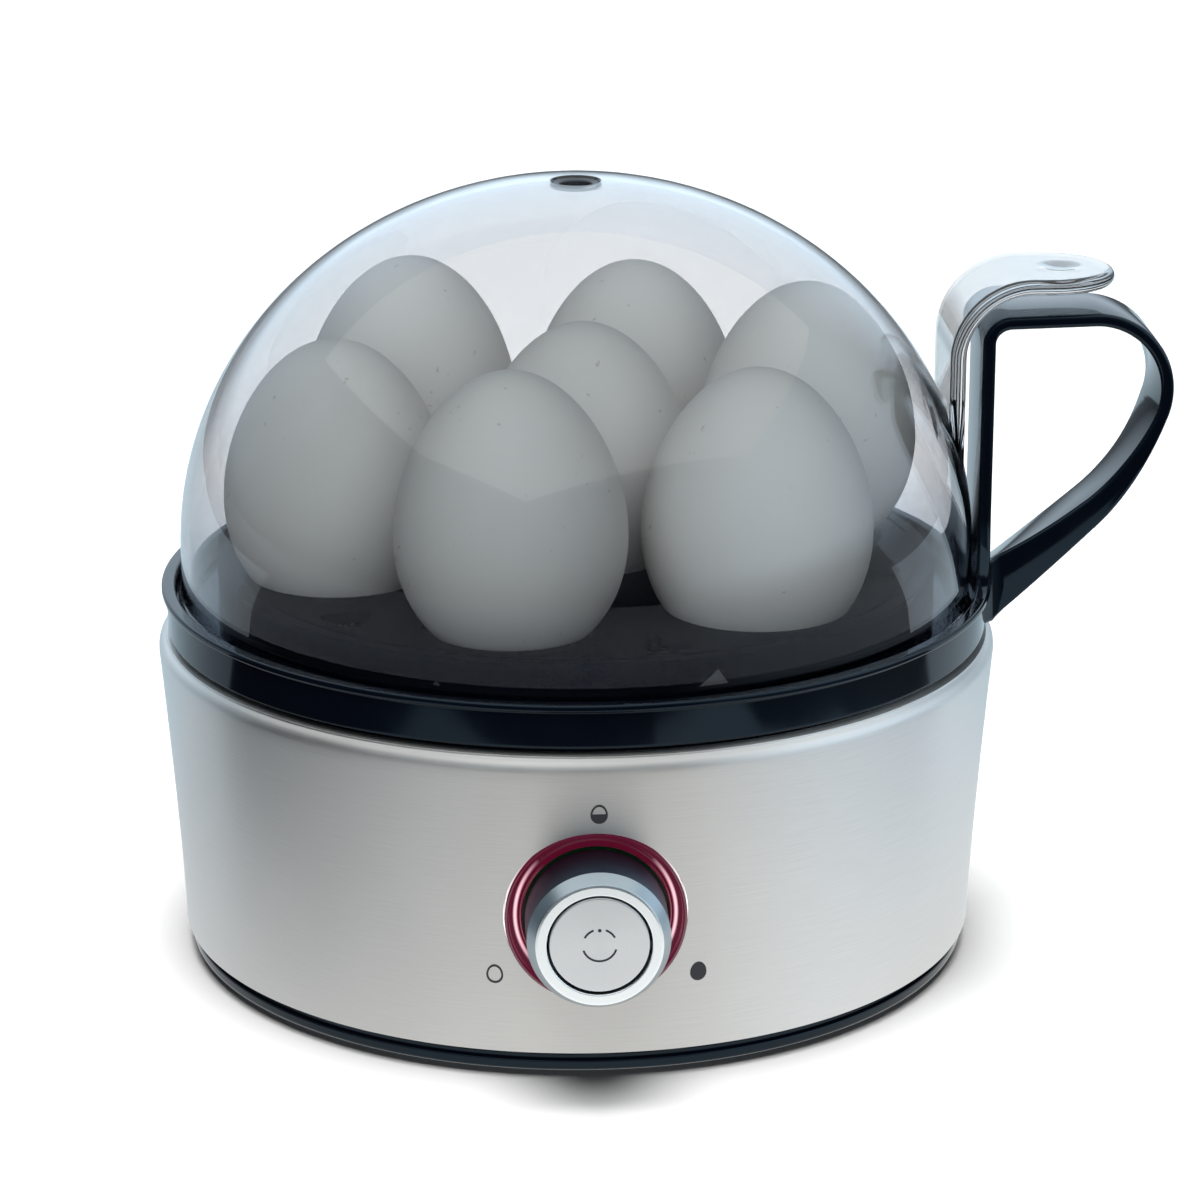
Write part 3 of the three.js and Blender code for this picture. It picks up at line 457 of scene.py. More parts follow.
def clear_plastic(name, tint, tab_tint_and_shade, foot_painted_shade):
    """Clear moulded plastic, darker in the tab, partly for its thickness and partly as painted shade, and
    darker towards its foot as painted shade. Lamps shine through it unbent.
    """
    material, nodes, shader = new_material(name)
    place = object_mm(nodes)
    wave = nodes.noise(place, 0.05, 1.0)
    nodes.link(nodes.bump(wave, 0.15, 0.2), shader.inputs["Normal"])
    parts = nodes.add("ShaderNodeSeparateXYZ")
    nodes.link(place, parts.inputs[0])
    # the tab's mask: here the tint darkens partly for the tab's thickness and partly as painted shade
    beyond = nodes.remap(parts.outputs[0], 0.0, 1.0, TAB["x"] - 4.0, TAB["x"] - 2.0)
    above = nodes.remap(parts.outputs[2], 0.0, 1.0, 114.0, 119.0)
    thick = nodes.math("MULTIPLY", beyond, above)
    # painted shade: the lid's wall darkens towards its foot
    foot = nodes.remap(parts.outputs[2], 1.0, 0.0, 80.0, 100.0)
    wall = nodes.mix_colour(foot, tint, foot_painted_shade)
    nodes.link(nodes.mix_colour(thick, wall, tab_tint_and_shade), shader.inputs["Base Color"])
    set_values(shader, Roughness=0.0, IOR=1.49, Transmission_Weight=1.0)
    light = nodes.add("ShaderNodeLightPath")
    open_to = nodes.math("MAXIMUM", light.outputs["Is Shadow Ray"], light.outputs["Is Diffuse Ray"])
    through = nodes.add("ShaderNodeBsdfTransparent")
    through.inputs["Color"].default_value = (*(math.sqrt(c) * 0.96 for c in tint), 1.0)
    nodes.mix_shader(open_to, shader.outputs[0], through.outputs[0])
    return material


def glowing_plastic(name, shaded_bands, painted_highlight, strength):
    """Plastic lit from within, with painted light and shade: red in bands at set radii from the axis,
    lighter and darker as painted light and shade of the trough, and a painted highlight at each side, all
    fed into the glow.
    """
    material, nodes, shader = new_material(name)
    parts = nodes.add("ShaderNodeSeparateXYZ")
    place = object_mm(nodes)
    nodes.link(place, parts.inputs[0])
    radius = nodes.radial(parts.outputs[0], parts.outputs[2])
    low, high = shaded_bands[0][0], shaded_bands[-1][0]
    # painted light and shade: the red runs lighter and darker in bands across the trough
    ramp = nodes.add("ShaderNodeValToRGB")
    nodes.link(nodes.remap(radius, 0.0, 1.0, low, high), ramp.inputs[0])
    stops = ramp.color_ramp.elements
    for k, (at, colour) in enumerate(shaded_bands):
        share = (at - low) / (high - low)
        if k == 0:
            stop = stops[0]
        elif k == len(shaded_bands) - 1:
            stop = stops[1]
        else:
            stop = stops.new(share)
        stop.position = share
        stop.color = (*colour, 1.0)
    # painted highlight: a pink glint near the trough's crest, strongest at the sides
    sideways = nodes.math("DIVIDE", nodes.math("ABSOLUTE", parts.outputs[0]), radius)
    side = nodes.remap(sideways, 0.0, 1.0, 0.7, 0.97)
    away = nodes.math("ABSOLUTE", nodes.math("SUBTRACT", radius, PAINTED_GLINT_R))
    painted_glint = nodes.math("MULTIPLY", side, nodes.remap(away, 0.8, 0.0, 0.1, 0.5))
    colour = nodes.mix_colour(painted_glint, ramp.outputs[0], painted_highlight)
    cloud = nodes.noise(place, 0.6, 2.0)
    nodes.link(colour, shader.inputs["Base Color"])
    nodes.link(colour, shader.inputs["Emission Color"])
    nodes.link(nodes.remap(cloud, 0.06, 0.12), shader.inputs["Roughness"])
    set_values(shader, IOR=1.5, Coat_Weight=1.0, Coat_Roughness=0.03, Emission_Strength=strength)
    return material


def egg_shell(name, colour, speck):
    """Matte shell with a faint mottle and a few small specks."""
    material, nodes, shader = new_material(name)
    place = object_mm(nodes)
    cloud = nodes.noise(place, 0.12, 3.0)
    dots = nodes.remap(nodes.noise(place, 0.55, 1.0), 0.0, 0.6, 0.735, 0.79)
    plain = nodes.mix_colour(cloud, tuple(c * 0.97 for c in colour), colour)
    nodes.link(nodes.mix_colour(dots, plain, speck), shader.inputs["Base Color"])
    nodes.link(nodes.bump(nodes.noise(place, 1.6, 3.0), 0.4, 0.01), shader.inputs["Normal"])
    set_values(shader, Roughness=0.55, Specular_IOR_Level=0.3)
    return material


FINE_BRUSH = {"about": "Y", "streak_mm": 0.25, "length": 6.0, "bump_mm": 0.0006}
BLACK_COLOUR = (0.003, 0.0045, 0.009)

STEEL = metal("brushed_steel", (0.7, 0.69, 0.675), 0.42, about="Z", streak_mm=0.3, length=7.0,
              anisotropic=0.8, contrast=0.11)
PAN_STEEL = metal("pan_steel", (0.5, 0.5, 0.5), 0.28, about="Z", streak_mm=0.3)
SILVER = metal("satin_silver", (0.72, 0.74, 0.76), 0.36, anisotropic=0.2, **FINE_BRUSH)
# the knob's silver face, and darker copies for its bevel and side as painted shade
KNOB_FACE = metal("knob_face", (0.9, 0.95, 1.0), 0.3, **FINE_BRUSH)
KNOB_EDGE_SHADE = metal("knob_edge_painted_shade", (0.36, 0.42, 0.46), 0.33, **FINE_BRUSH)
KNOB_SIDE_SHADE = metal("knob_side_painted_shade", (0.07, 0.12, 0.17), 0.4, about="Y", streak_mm=0.1, length=12.0)
ALUMINIUM = metal("cast_aluminium", (0.6, 0.61, 0.62), 0.42, streak_mm=0.5, bump_mm=0.02)
ZINC = metal("zinc_steel", (0.42, 0.42, 0.43), 0.35, streak_mm=0.4, bump_mm=0.01)
BLACK = plastic("gloss_black", BLACK_COLOUR, 0.09, grain_mm=2.5, bump_mm=0.0025, level=0.33, spread=0.03,
                tint=(0.55, 0.8, 1.0))
TRAY_BLACK = plastic("tray_black", BLACK_COLOUR, 0.07, grain_mm=2.5, bump_mm=0.002, level=0.012,
                     spread=0.02, tint=(0.7, 0.85, 1.0))
DARK = plastic("dark_plastic", (0.03, 0.032, 0.036), 0.5, grain_mm=0.3, bump_mm=0.02)
RUBBER = plastic("foot_rubber", (0.018, 0.018, 0.02), 0.8, grain_mm=0.25, bump_mm=0.03)
SILICONE = plastic("seal_silicone", (0.62, 0.62, 0.6), 0.6, grain_mm=0.5, bump_mm=0.02)
CERAMIC = plastic("white_part", (0.78, 0.76, 0.7), 0.35, grain_mm=0.8, bump_mm=0.01)
BOARD = plastic("circuit_board", (0.012, 0.1, 0.035), 0.35, grain_mm=1.2, bump_mm=0.02, mottle=0.25)
SLEEVE = plastic("wire_sleeve", (0.5, 0.45, 0.36), 0.8, grain_mm=0.25, bump_mm=0.06)
INK = plastic("printed_ink", (0.018, 0.02, 0.028), 0.4, grain_mm=0.2, bump_mm=0.003)
# the lid's own tint, the tab's tint with painted shade, and the painted shade at its foot
CLEAR = clear_plastic("clear_plastic", (0.81, 0.82, 0.835), (0.57, 0.585, 0.59), (0.46, 0.5, 0.56))
# the ring's red in bands, lighter and darker as painted light and shade of its trough; the pink given to
# the ring is a painted highlight
RED_SHADED_BANDS = [(14.7, (0.05, 0.002, 0.01)), (15.5, (0.5, 0.02, 0.08)), (16.3, (0.7, 0.06, 0.15)),
             (17.2, (0.3, 0.012, 0.05)), (17.8, (0.6, 0.035, 0.11)), (18.3, (0.07, 0.004, 0.016))]
PAINTED_GLINT_R = 16.1
RED = glowing_plastic("red_light", RED_SHADED_BANDS, (0.98, 0.55, 0.62), 1.2)
EGG = egg_shell("egg_shell", (0.78, 0.745, 0.715), (0.45, 0.38, 0.33))


# ---------------------------------------------------------------- housing

def shell_radius(z):
    """The radius of the steel skin at a height."""
    share = (z - SHELL["bottom_z"]) / (SHELL["shoulder_z"] - SHELL["bottom_z"])
    return SHELL["bottom_r"] + (SHELL_R - SHELL["bottom_r"]) * max(share, 0) ** SHELL["flare"]


def make_shell():
    """The steel skin, with its rolled top edge and its openings for the knob and the cord."""
    wall = SHELL["wall"]
    low = SHELL["bottom_z"]
    heights = [low + (SHELL["shoulder_z"] - low) * k / 24 for k in range(25)]
    bend = SHELL["shoulder_bend"]
    bend_z = SHELL["shoulder_z"] + 0.3
    turns = [math.radians(d) for d in range(8, 58, 7)]
    shoulder = [(SHELL_R - bend + bend * math.cos(a), bend_z + bend * math.sin(a)) for a in turns]
    outside = [(shell_radius(z), z) for z in heights] + shoulder
    top = [(88.45, 70.0, 0.1), (88.4, 70.4, 0.12), (85.0, 70.4, 0.3), (85.0, 69.6, 0.3),
           (87.6, 69.6, 0.8)]
    inside = [(shell_radius(z) - wall, z) for z in reversed(heights)]
    edge = rounded([outside[-1], *top, inside[0]], closed=False)[1:-1]
    shell = revolve("shell_skin", [*outside, *edge, *inside], segments=288)
    window = revolve("window", rod(SHELL["window_r"], -95, -75), "Y", 96, (0, 0, KNOB_Z))
    gland = revolve("gland", rod(SHELL["gland_r"], 70, 95), "Y", 48, (0, 0, GLAND_Z))
    boolean(shell, [window, gland])
    dress(shell, "housing", "shell_steel", STEEL, "housing_shell")


def make_base():
    """The bottom plate, with its screw posts, foot recesses and vent slots."""
    outline = rounded([
        (0, 1.6), (84.6, 1.6, 0.7), (84.6, 3.7, 0.35), (83.5, 4.0, 0.2), (83.5, 4.8, 0.1),
        (81.4, 4.8, 0.1), (81.4, 9.0, 0.3), (79.6, 9.0, 0.3), (79.6, 3.8, 0.4), (0, 3.8)], closed=False)
    base = revolve("base_plate", outline, segments=224)
    posts, cuts = [], []
    post = rounded([(0, 3), (4.2, 3), (4.2, 7.8, 0.4), (0, 7.8)], False)
    counterbore = [(0, 0), (4.1, 0), (4.1, 1.6), (3.7, 2.0), (3.7, 4.6), (1.9, 4.6), (1.9, 9), (0, 9)]
    for _, x, y, _ in around(4, SCREW_RING, math.radians(45)):
        posts.append(revolve("post", post, segments=32, at=(x, y, 0)))
        cuts.append(revolve("counterbore", counterbore, segments=32, at=(x, y, 0)))
    for _, x, y, _ in around(4, FEET_RING):
        cuts.append(revolve("recess", rod(8.4, 0, 2.6), segments=48, at=(x, y, 0)))
    for k in range(5):
        cuts.append(slot_cutter(9.0 * (k - 2), 1.5, 11.0, 0.0, 6.0))
    boolean(base, posts, "UNION")
    boolean(base, cuts)
    dress(base, "housing", "gloss_black", BLACK, "base_cover")


def slot_cutter(x, half_x, half_y, low, high):
    """A vent slot with round ends, running along Y."""
    loop = []
    for end in (1, -1):
        for k in range(9):
            a = math.pi * k / 8 + (0 if end > 0 else math.pi)
            loop.append((x + half_x * math.cos(a), end * (half_y - half_x) + half_x * math.sin(a)))
    return loft("slot", [[(px, py, z) for px, py in loop] for z in (low, high)])


def make_feet():
    outline = rounded([(0, 0.15), (4.6, 0.15, 0.2), (5.0, 0.0, 0.2), (7.7, 0, 0.5), (8.0, 2.3, 0.3),
                       (0, 2.3)], False)
    for k, x, y, _ in around(4, FEET_RING):
        foot = revolve(f"rubber_foot_{k + 1}", outline, segments=64, at=(x, y, 0))
        dress(foot, "housing", "foot_rubber", RUBBER, f"foot_{k + 1}")


def make_screw(name, x, y, head_z, head_r, node):
    """A pan-head screw seen from below, with a cross recess."""
    outline = rounded([(0, head_z), (head_r, head_z, 0.9), (head_r, head_z + 2.0, 0.2),
                       (1.4, head_z + 2.0, 0.2), (1.4, 17.0), (0, 18.0)], False)
    screw = revolve(name, outline, segments=48, at=(x, y, 0))
    wide, thin = 1.9, 0.42
    cross = [(wide, -thin), (wide, thin), (thin, thin), (thin, wide), (-thin, wide), (-thin, thin),
             (-wide, thin), (-wide, -thin), (-thin, -thin), (-thin, -wide), (thin, -wide), (thin, -thin)]
    levels = ((head_z - 1, 1.0), (head_z + 1.3, 0.6))
    sections = [[(x + px * taper, y + py * taper, z) for px, py in cross] for z, taper in levels]
    boolean(screw, [loft("cross", sections)])
    dress(screw, "housing", "fastener_steel", ZINC, node)


def make_gland():
    outline = rounded([
        (3.0, 78.5, 0.3), (6.6, 78.5, 0.4), (6.6, 80.5, 0.3), (4.8, 80.5, 0.2), (4.8, 86.9, 0.2),
        (6.8, 86.9, 0.4), (6.8, 88.2, 0.7), (5.6, 89.2, 0.6), (3.6, 89.2, 0.5), (3.0, 88.0, 0.4)])
    gland = revolve("cord_gland", outline, "Y", 64, (0, 0, GLAND_Z))
    dress(gland, "housing", "foot_rubber", RUBBER, "cord_bushing")


def make_pan():
    """The pan that the water boils in, and the flat seal under its rim."""
    outline = rounded([
        (0, 45.6), (56, 45.6, 3), (59, 47.5, 2), (66, 61.6, 1), (83.2, 61.6, 0.3), (83.2, 62.6, 0.3),
        (65.2, 62.6, 1.5), (58.3, 48.2, 3), (55.5, 46.6, 2), (30, 46.6, 1), (29.4, 46.2, 0.8),
        (28.8, 46.6, 1), (0, 46.6)], False)
    pan = revolve("boiling_pan", outline, segments=192)
    dress(pan, "housing", "pan_steel", PAN_STEEL, "water_pan")
    outline = rounded([(69, 60.3, 0.4), (80, 60.3, 0.4), (80, 61.3, 0.4), (69, 61.3, 0.4)])
    seal = revolve("pan_seal", outline, segments=160)
    dress(seal, "housing", "seal_silicone", SILICONE, "pan_gasket")


# ---------------------------------------------------------------- knob, button, light ring, printed signs

def make_light_ring():
    """The red ring round the knob, with a trough in its front."""
    turns = [math.radians(d) for d in range(0, 181, 15)]
    trough = [(16.3 + 1.25 * math.cos(a), -85.75 + 1.0 * math.sin(a)) for a in turns]
    outline = rounded([
        (14.75, -82.6, 0.2), (19.2, -82.6, 0.2), (19.2, -83.9, 0.2), (18.25, -83.9, 0.1),
        (18.25, -87.3, 0.35), (17.62, -87.4, 0.3)])
    outline += [*trough, (14.95, -86.3), (14.75, -86.1)]
    ring = revolve("glow_ring", outline, "Y", 128, (0, 0, KNOB_Z))
    dress(ring, "housing", "red_light", RED, "light_ring")


def make_knob():
    """The knob: a hollow shaft, a web and a ring, with painted shade: dark round its side and grey on its
    bevel.
    """
    front = KNOB_FRONT
    outline = rounded([
        (6.0, -76.8, 0.2), (7.6, -76.8, 0.2), (7.6, -92.6, 0.3), (12.65, -92.6, 0.4), (12.65, -86.4, 0.2),
        (14.25, -86.4, 0.35), (14.25, front + 3.0, 0.25), (12.7, front + 0.15, 0.35),
        (12.2, front, 0.3), (10.42, front, 0.25), (10.42, front + 7.8, 0.3), (6.0, front + 7.8, 0.3)],
        step=math.radians(15))
    knob = revolve("turn_knob", outline, "Y", 128, (0, 0, KNOB_Z))
    dress(knob, "knob", "satin_silver", KNOB_FACE, "knob_ring")
    knob.data.materials.append(KNOB_SIDE_SHADE)
    knob.data.materials.append(KNOB_EDGE_SHADE)
    # painted shade: faces turned sideways take the dark copy, the bevel the grey one
    for face in knob.data.polygons:
        out = math.hypot(face.center.x, face.center.z) / MM
        if abs(face.normal.y) < 0.35 and out > 14.0:
            face.material_index = 1
        elif abs(face.normal.y) < 0.9 and out > 12.6:
            face.material_index = 2


def make_button():
    """The button and its stem, with a pocket behind that takes the spring when it is pressed."""
    face = KNOB_FRONT + 0.3
    outline = rounded([
        (0, face), (9.9, face, 0.3), (10.05, face + 4.6, 0.2), (5.6, face + 4.6, 0.2),
        (5.6, face + 2.2, 0.2), (3.5, face + 2.2, 0.2), (3.5, -73.3, 0.2), (0, -73.3)], False)
    button = revolve("push_button", outline, "Y", 128, (0, 0, KNOB_Z))
    dress(button, "button", "satin_silver", SILVER, "start_button")
    y = face - POWER["lift"]
    for k, (start, end) in enumerate(POWER["arcs"]):
        make_arc(f"power_arc_{k + 1}", math.radians(start), math.radians(end), y)
    dot = revolve("power_dot", rod(POWER["dot_r"], 0, POWER["thick"]), "Y", 24,
                  (0, y, KNOB_Z + POWER["dot_up"]))
    dress(dot, "button", "dark_plastic", INK)


def make_arc(name, start, end, y):
    """A thin flat arc on the button's face."""
    steps = 48
    near, far = POWER["r"] - POWER["line"] / 2, POWER["r"] + POWER["line"] / 2
    thick = POWER["thick"]
    sections = []
    for k in range(steps + 1):
        a = start + (end - start) * k / steps
        sections.append([(r * math.cos(a), y + d, KNOB_Z + r * math.sin(a))
                         for r, d in ((near, 0), (far, 0), (far, thick), (near, thick))])
    dress(loft(name, sections), "button", "dark_plastic", INK)


def on_shell(u, z, lift):
    """A point on the shell's skin, u mm round from the knob's plane of symmetry."""
    r = shell_radius(z)
    a = u / r
    return ((r + lift) * math.sin(a), -(r + lift) * math.cos(a), z)


def egg_loop(u, z, scale, count=48):
    """An egg-shaped loop, blunt end down."""
    loop = []
    for k in range(count):
        a = TURN * k / count
        taper = 1 - SIGN["taper"] * math.sin(a)
        loop.append((u + SIGN["half_wide"] * scale * math.cos(a) * taper,
                     z + SIGN["half_tall"] * scale * math.sin(a)))
    return loop


def printed(name, loop):
    """A filled printed shape, a few hundredths of a millimetre thick, wrapped on the shell."""
    sections = [[on_shell(u, z, lift) for u, z in loop] for lift in (SIGN["under"], SIGN["over"])]
    dress(loft(name, sections), "housing", "dark_plastic", INK)


def printed_outline(name, u, z):
    """A printed egg-shaped line, wrapped on the shell."""
    outer = egg_loop(u, z, 1.0)
    inner = egg_loop(u, z, 1.0 - SIGN["line"] / 1.9)
    count = len(outer)
    verts = []
    for lift in (SIGN["under"], SIGN["over"]):
        verts += [on_shell(*p, lift) for p in outer]
        verts += [on_shell(*p, lift) for p in inner]
    faces = []
    for k in range(count):
        n = (k + 1) % count
        low_out, low_in, high_out, high_in = (j * count for j in range(4))
        faces.append([low_out + k, low_out + n, high_out + n, high_out + k])
        faces.append([low_in + k, high_in + k, high_in + n, low_in + n])
        faces.append([high_out + k, high_out + n, high_in + n, high_in + k])
        faces.append([low_out + k, low_in + k, low_in + n, low_out + n])
    dress(new_object(name, verts, faces), "housing", "dark_plastic", INK)


def make_signs():
    """An open, a half filled and a filled egg, for soft, medium and hard."""
    places = {name: (u, KNOB_Z + up) for name, (u, up) in SIGNS.items()}
    printed("sign_hard", egg_loop(*places["hard"], 1.0))
    printed_outline("sign_soft", *places["soft"])
    printed_outline("sign_medium", *places["medium"])
    u, z = places["medium"]
    half = [p for p in egg_loop(u, z, 0.9) if p[1] <= z + 1e-6]
    printed("sign_medium_fill", half)


# ---------------------------------------------------------------- carrier and tray

def make_rim():
    """The carrier's ring: a wall with a bead round it, and a ledge that the tray lies on."""
    outline = rounded([
        (82.4, 62.9, 0.3), (84.0, 62.9, 0.3), (84.0, 75.4, 0.3), (RIM["wall_in"], 75.4, 0.3),
        (RIM["wall_in"], RIM["low"], 0.3), (RIM["wall_out"], RIM["low"], 0.5),
        (RIM["wall_out"], RIM["bead_z"] - 0.3, 0.3), (RIM["bead"], RIM["bead_z"] + 0.2, 0.4),
        (RIM["bead"], RIM["top"], 0.75), (RIM["wall_in"], RIM["top"], 0.6),
        (RIM["wall_in"], RIM["floor"], 0.5), (72.0, RIM["floor"], 0.4), (72.0, 75.4, 0.4),
        (82.4, 75.4, 0.4)])
    rim = revolve("carrier_rim", outline, segments=288)
    dress(rim, "carrier", "gloss_black", BLACK, "carrier_ring")


def handle_path():
    """The loop as rows of points in (X, Z): its outside, its front inside edge and its back inside edge.
    Each row ends with how far it bends round the lid."""
    h = HANDLE
    rows = []
    leg_top = h["top"] - h["corner"]
    for k in range(LEG_STEPS + 1):
        share = (k / LEG_STEPS) ** 1.7
        z = lerp(h["foot"], leg_top, share)
        rows.append(((h["x"], z), (h["x"] + h["strip"], z), (h["x"] + h["strip"], z), 1.0))
    centre = (h["x"] + h["corner"], leg_top)
    inner_r = h["corner"] - h["strip"]
    for k in range(1, CORNER_STEPS + 1):
        a = math.pi - math.pi / 2 * k / CORNER_STEPS
        bend = 1.0 - k / CORNER_STEPS
        rows.append(tuple((centre[0] + r * math.cos(a), centre[1] + r * math.sin(a))
                          for r in (h["corner"], inner_r, inner_r)) + (bend,))
    rise = h["bow_z"] + h["bow_r"] - h["top"]
    for k in range(1, TOP_STEPS + 1):
        x = lerp(centre[0], h["bow_x"], k / TOP_STEPS)
        z = h["top"] + rise * k / TOP_STEPS
        rows.append(((x, z), (x, z - h["strip"]), (x, z - h["strip"]), 0.0))
    inner_r = h["bow_r"] - h["strip"]
    for k in range(1, BOW_STEPS + 1):
        a = lerp(math.pi / 2, h["bow_end"], k / BOW_STEPS)
        rows.append(tuple((h["bow_x"] + r * math.cos(a), h["bow_z"] + r * math.sin(a))
                          for r in (h["bow_r"], inner_r, inner_r)) + (0.0,))
    end_out, end_in = rows[-1][0], rows[-1][1]
    arm = ((end_out, (122.4, 107.8), (117.7, 99.0), (111.3, 92.7)),
           (end_in, (120.6, 111.4), (113.6, 101.8), (107.4, 97.6)),
           (end_in, (120.4, 108.4), (116.0, 101.2), (108.0, 94.7)))
    root = (((111.3, 92.7), (104.0, 85.6), (96.8, 78.7), (89.0, 71.9)),
            ((107.4, 97.6), (101.6, 93.2), (95.0, 89.0), (88.2, 85.8)),
            ((108.0, 94.7), (101.6, 89.3), (95.0, 83.9), (88.4, 78.6)))
    for curves, steps in ((arm, ARM_STEPS), (root, ROOT_STEPS)):
        for k in range(1, steps + 1):
            rows.append(tuple(bezier(curve, k / steps) for curve in curves) + (0.0,))
    rows.append(((86.8, 71.9), (86.8, 85.4), (86.8, 77.6), 0.0))
    return rows


def fillet_flare(radius, away):
    """How much a strip widens at a distance from the wall that its fillet runs into."""
    if away >= radius:
        return 0.0
    return radius - math.sqrt(radius ** 2 - (radius - away) ** 2)


def make_handle():
    """The loop handle, as a rounded strip that widens into the ring at both ends."""
    h = HANDLE
    ring_r = h["ring_r"]
    diagonal = LEG_STEPS + CORNER_STEPS + TOP_STEPS
    sections = []
    for i, (outer, inner, inner_back, bend) in enumerate(handle_path()):
        half = h["half"]
        if i <= LEG_STEPS:
            half += fillet_flare(h["fillet"], max(outer[1] - RIM["top"], 0.0))
        elif i > diagonal and outer[0] < ring_r + h["root_fillet"]:
            half += fillet_flare(h["root_fillet"], max(inner[0] - ring_r, 0.0))
        thick = math.dist(outer, inner)
        loop = []
        r = min(h["edge"], thick * 0.45)
        for side_t, side_y, first in ((1, 1, 0), (0, 1, 1), (0, -1, 2), (1, -1, 3)):
            for k in range(5):
                a = math.radians(90 * first + 22.5 * k)
                across = (thick - r if side_t else r) + r * math.cos(a)
                y = side_y * (half - r) + r * math.sin(a)
                t = across / thick
                back = (y / half + 1) / 2
                x = lerp(outer[0], lerp(inner[0], inner_back[0], back), t)
                z = lerp(outer[1], lerp(inner[1], inner_back[1], back), t)
                x -= bend * (ring_r - math.sqrt(max(ring_r ** 2 - y * y, 0)))
                loop.append((x, y, z))
        sections.append(loop)
    dress(loft("carrier_handle", sections), "carrier", "gloss_black", BLACK)


def seat_places():
    """The middle of each egg seat: one on the axis and six round it."""
    return [(0.0, 0.0)] + [(x, y) for _, x, y, _ in around(6, SEAT["ring"], SEAT["turn"])]


def make_tray():
    """The tray: a disc with a collared, softly edged seat for each egg, and steam holes between."""
    top = TRAY["top"]
    under = top - TRAY["thick"]
    outline = rounded([
        (0, under), (75.2, under, 0.5), (75.2, 77.8, 0.3), (TRAY["r"], 77.8, 0.3), (TRAY["r"], top, 1.1),
        (74.0, top, 0.3), (73.6, top - 0.35, 0.2), (73.0, top - 0.35, 0.2), (72.6, top, 0.3),
        (0, top)], False)
    tray = revolve("tray_disc", outline, segments=224)
    r, wall, edge = SEAT["r"], TRAY["collar"], 1.3
    seats = seat_places()
    collar = rounded([(0, 79.5), (r + wall, 79.5, 0.5), (r + wall, top - 1.0), (0, top - 1.0)], False)
    turns = [math.radians(d) for d in range(0, 91, 15)]
    flare = [(r + edge - edge * math.cos(a), top - edge + edge * math.sin(a)) for a in turns]
    hole = [(0, 78), (r + 0.6, 78), (r, 80.2), *flare, (r + edge, top + 1), (0, top + 1)]
    cuts = [revolve("hole", hole, segments=72, at=(x, y, 0)) for x, y in seats]
    between = SEAT["turn"] + math.radians(30)
    cuts += [steam_cutter(x, y, a) for _, x, y, a in around(6, SEAT["steam_ring"], between)]
    boolean(tray, [revolve("collar", collar, segments=72, at=(x, y, 0)) for x, y in seats], "UNION")
    boolean(tray, cuts)
    dress(tray, "carrier", "gloss_black", TRAY_BLACK, "egg_tray")


def steam_cutter(x, y, angle):
    """A rounded triangular steam hole, its point towards the middle."""
    loop = []
    for corner in range(3):
        middle = angle + TURN * corner / 3 + math.pi
        cx, cy = x + 3.6 * math.cos(middle), y + 3.6 * math.sin(middle)
        for k in range(7):
            a = middle - math.pi / 3 + math.pi * 2 / 3 * k / 6
            loop.append((cx + 1.6 * math.cos(a), cy + 1.6 * math.sin(a)))
    top = TRAY["top"]
    wide = [(x + (px - x) * 1.18, y + (py - y) * 1.18) for px, py in loop]
    levels = ((loop, top - 6), (loop, top - 0.9), (wide, top + 0.1), (wide, top + 1))
    return loft("steam", [[(*p, z) for p in shape] for shape, z in levels])


# ---------------------------------------------------------------- lid

def dome_outline(inset, bottom, flange=0.0):
    """Half of an oval dome on an upright wall, with a small flange at the foot if one is asked for."""
    steps = 44
    r, height = DOME["r"] - inset, DOME["height"] - inset
    outline = [(0, bottom)]
    if flange:
        outline += rounded([(0, bottom), (r + flange, bottom, 0.3), (r + flange, bottom + 1.4, 0.5),
                            (r, bottom + 1.9, 0.3), (r, DOME["spring"])], False)[1:-1]
    else:
        outline.append((r, bottom))
    for k in range(steps + 1):
        a = math.pi / 2 * k / steps
        out = 0.0 if k == steps else r * math.cos(a)
        outline.append((out, DOME["spring"] + height * math.sin(a)))
    return outline


def tab_path(s):
    """The point and the upward normal, in (X, Z), at a distance along the tab's middle surface."""
    straight = TAB["bend_z"] - TAB["low"]
    bend = TAB["bend_r"] * math.pi / 2
    centre = (TAB["x"] + TAB["bend_r"], TAB["bend_z"])
    if s < straight:
        return (TAB["x"], TAB["low"] + s), (-1.0, 0.0)
    if s < straight + bend:
        a = math.pi - (s - straight) / TAB["bend_r"]
        return (centre[0] + TAB["bend_r"] * math.cos(a), centre[1] + TAB["bend_r"] * math.sin(a)), \
            (math.cos(a), math.sin(a))
    return (centre[0] + s - straight - bend, centre[1] + TAB["bend_r"]), (0.0, 1.0)


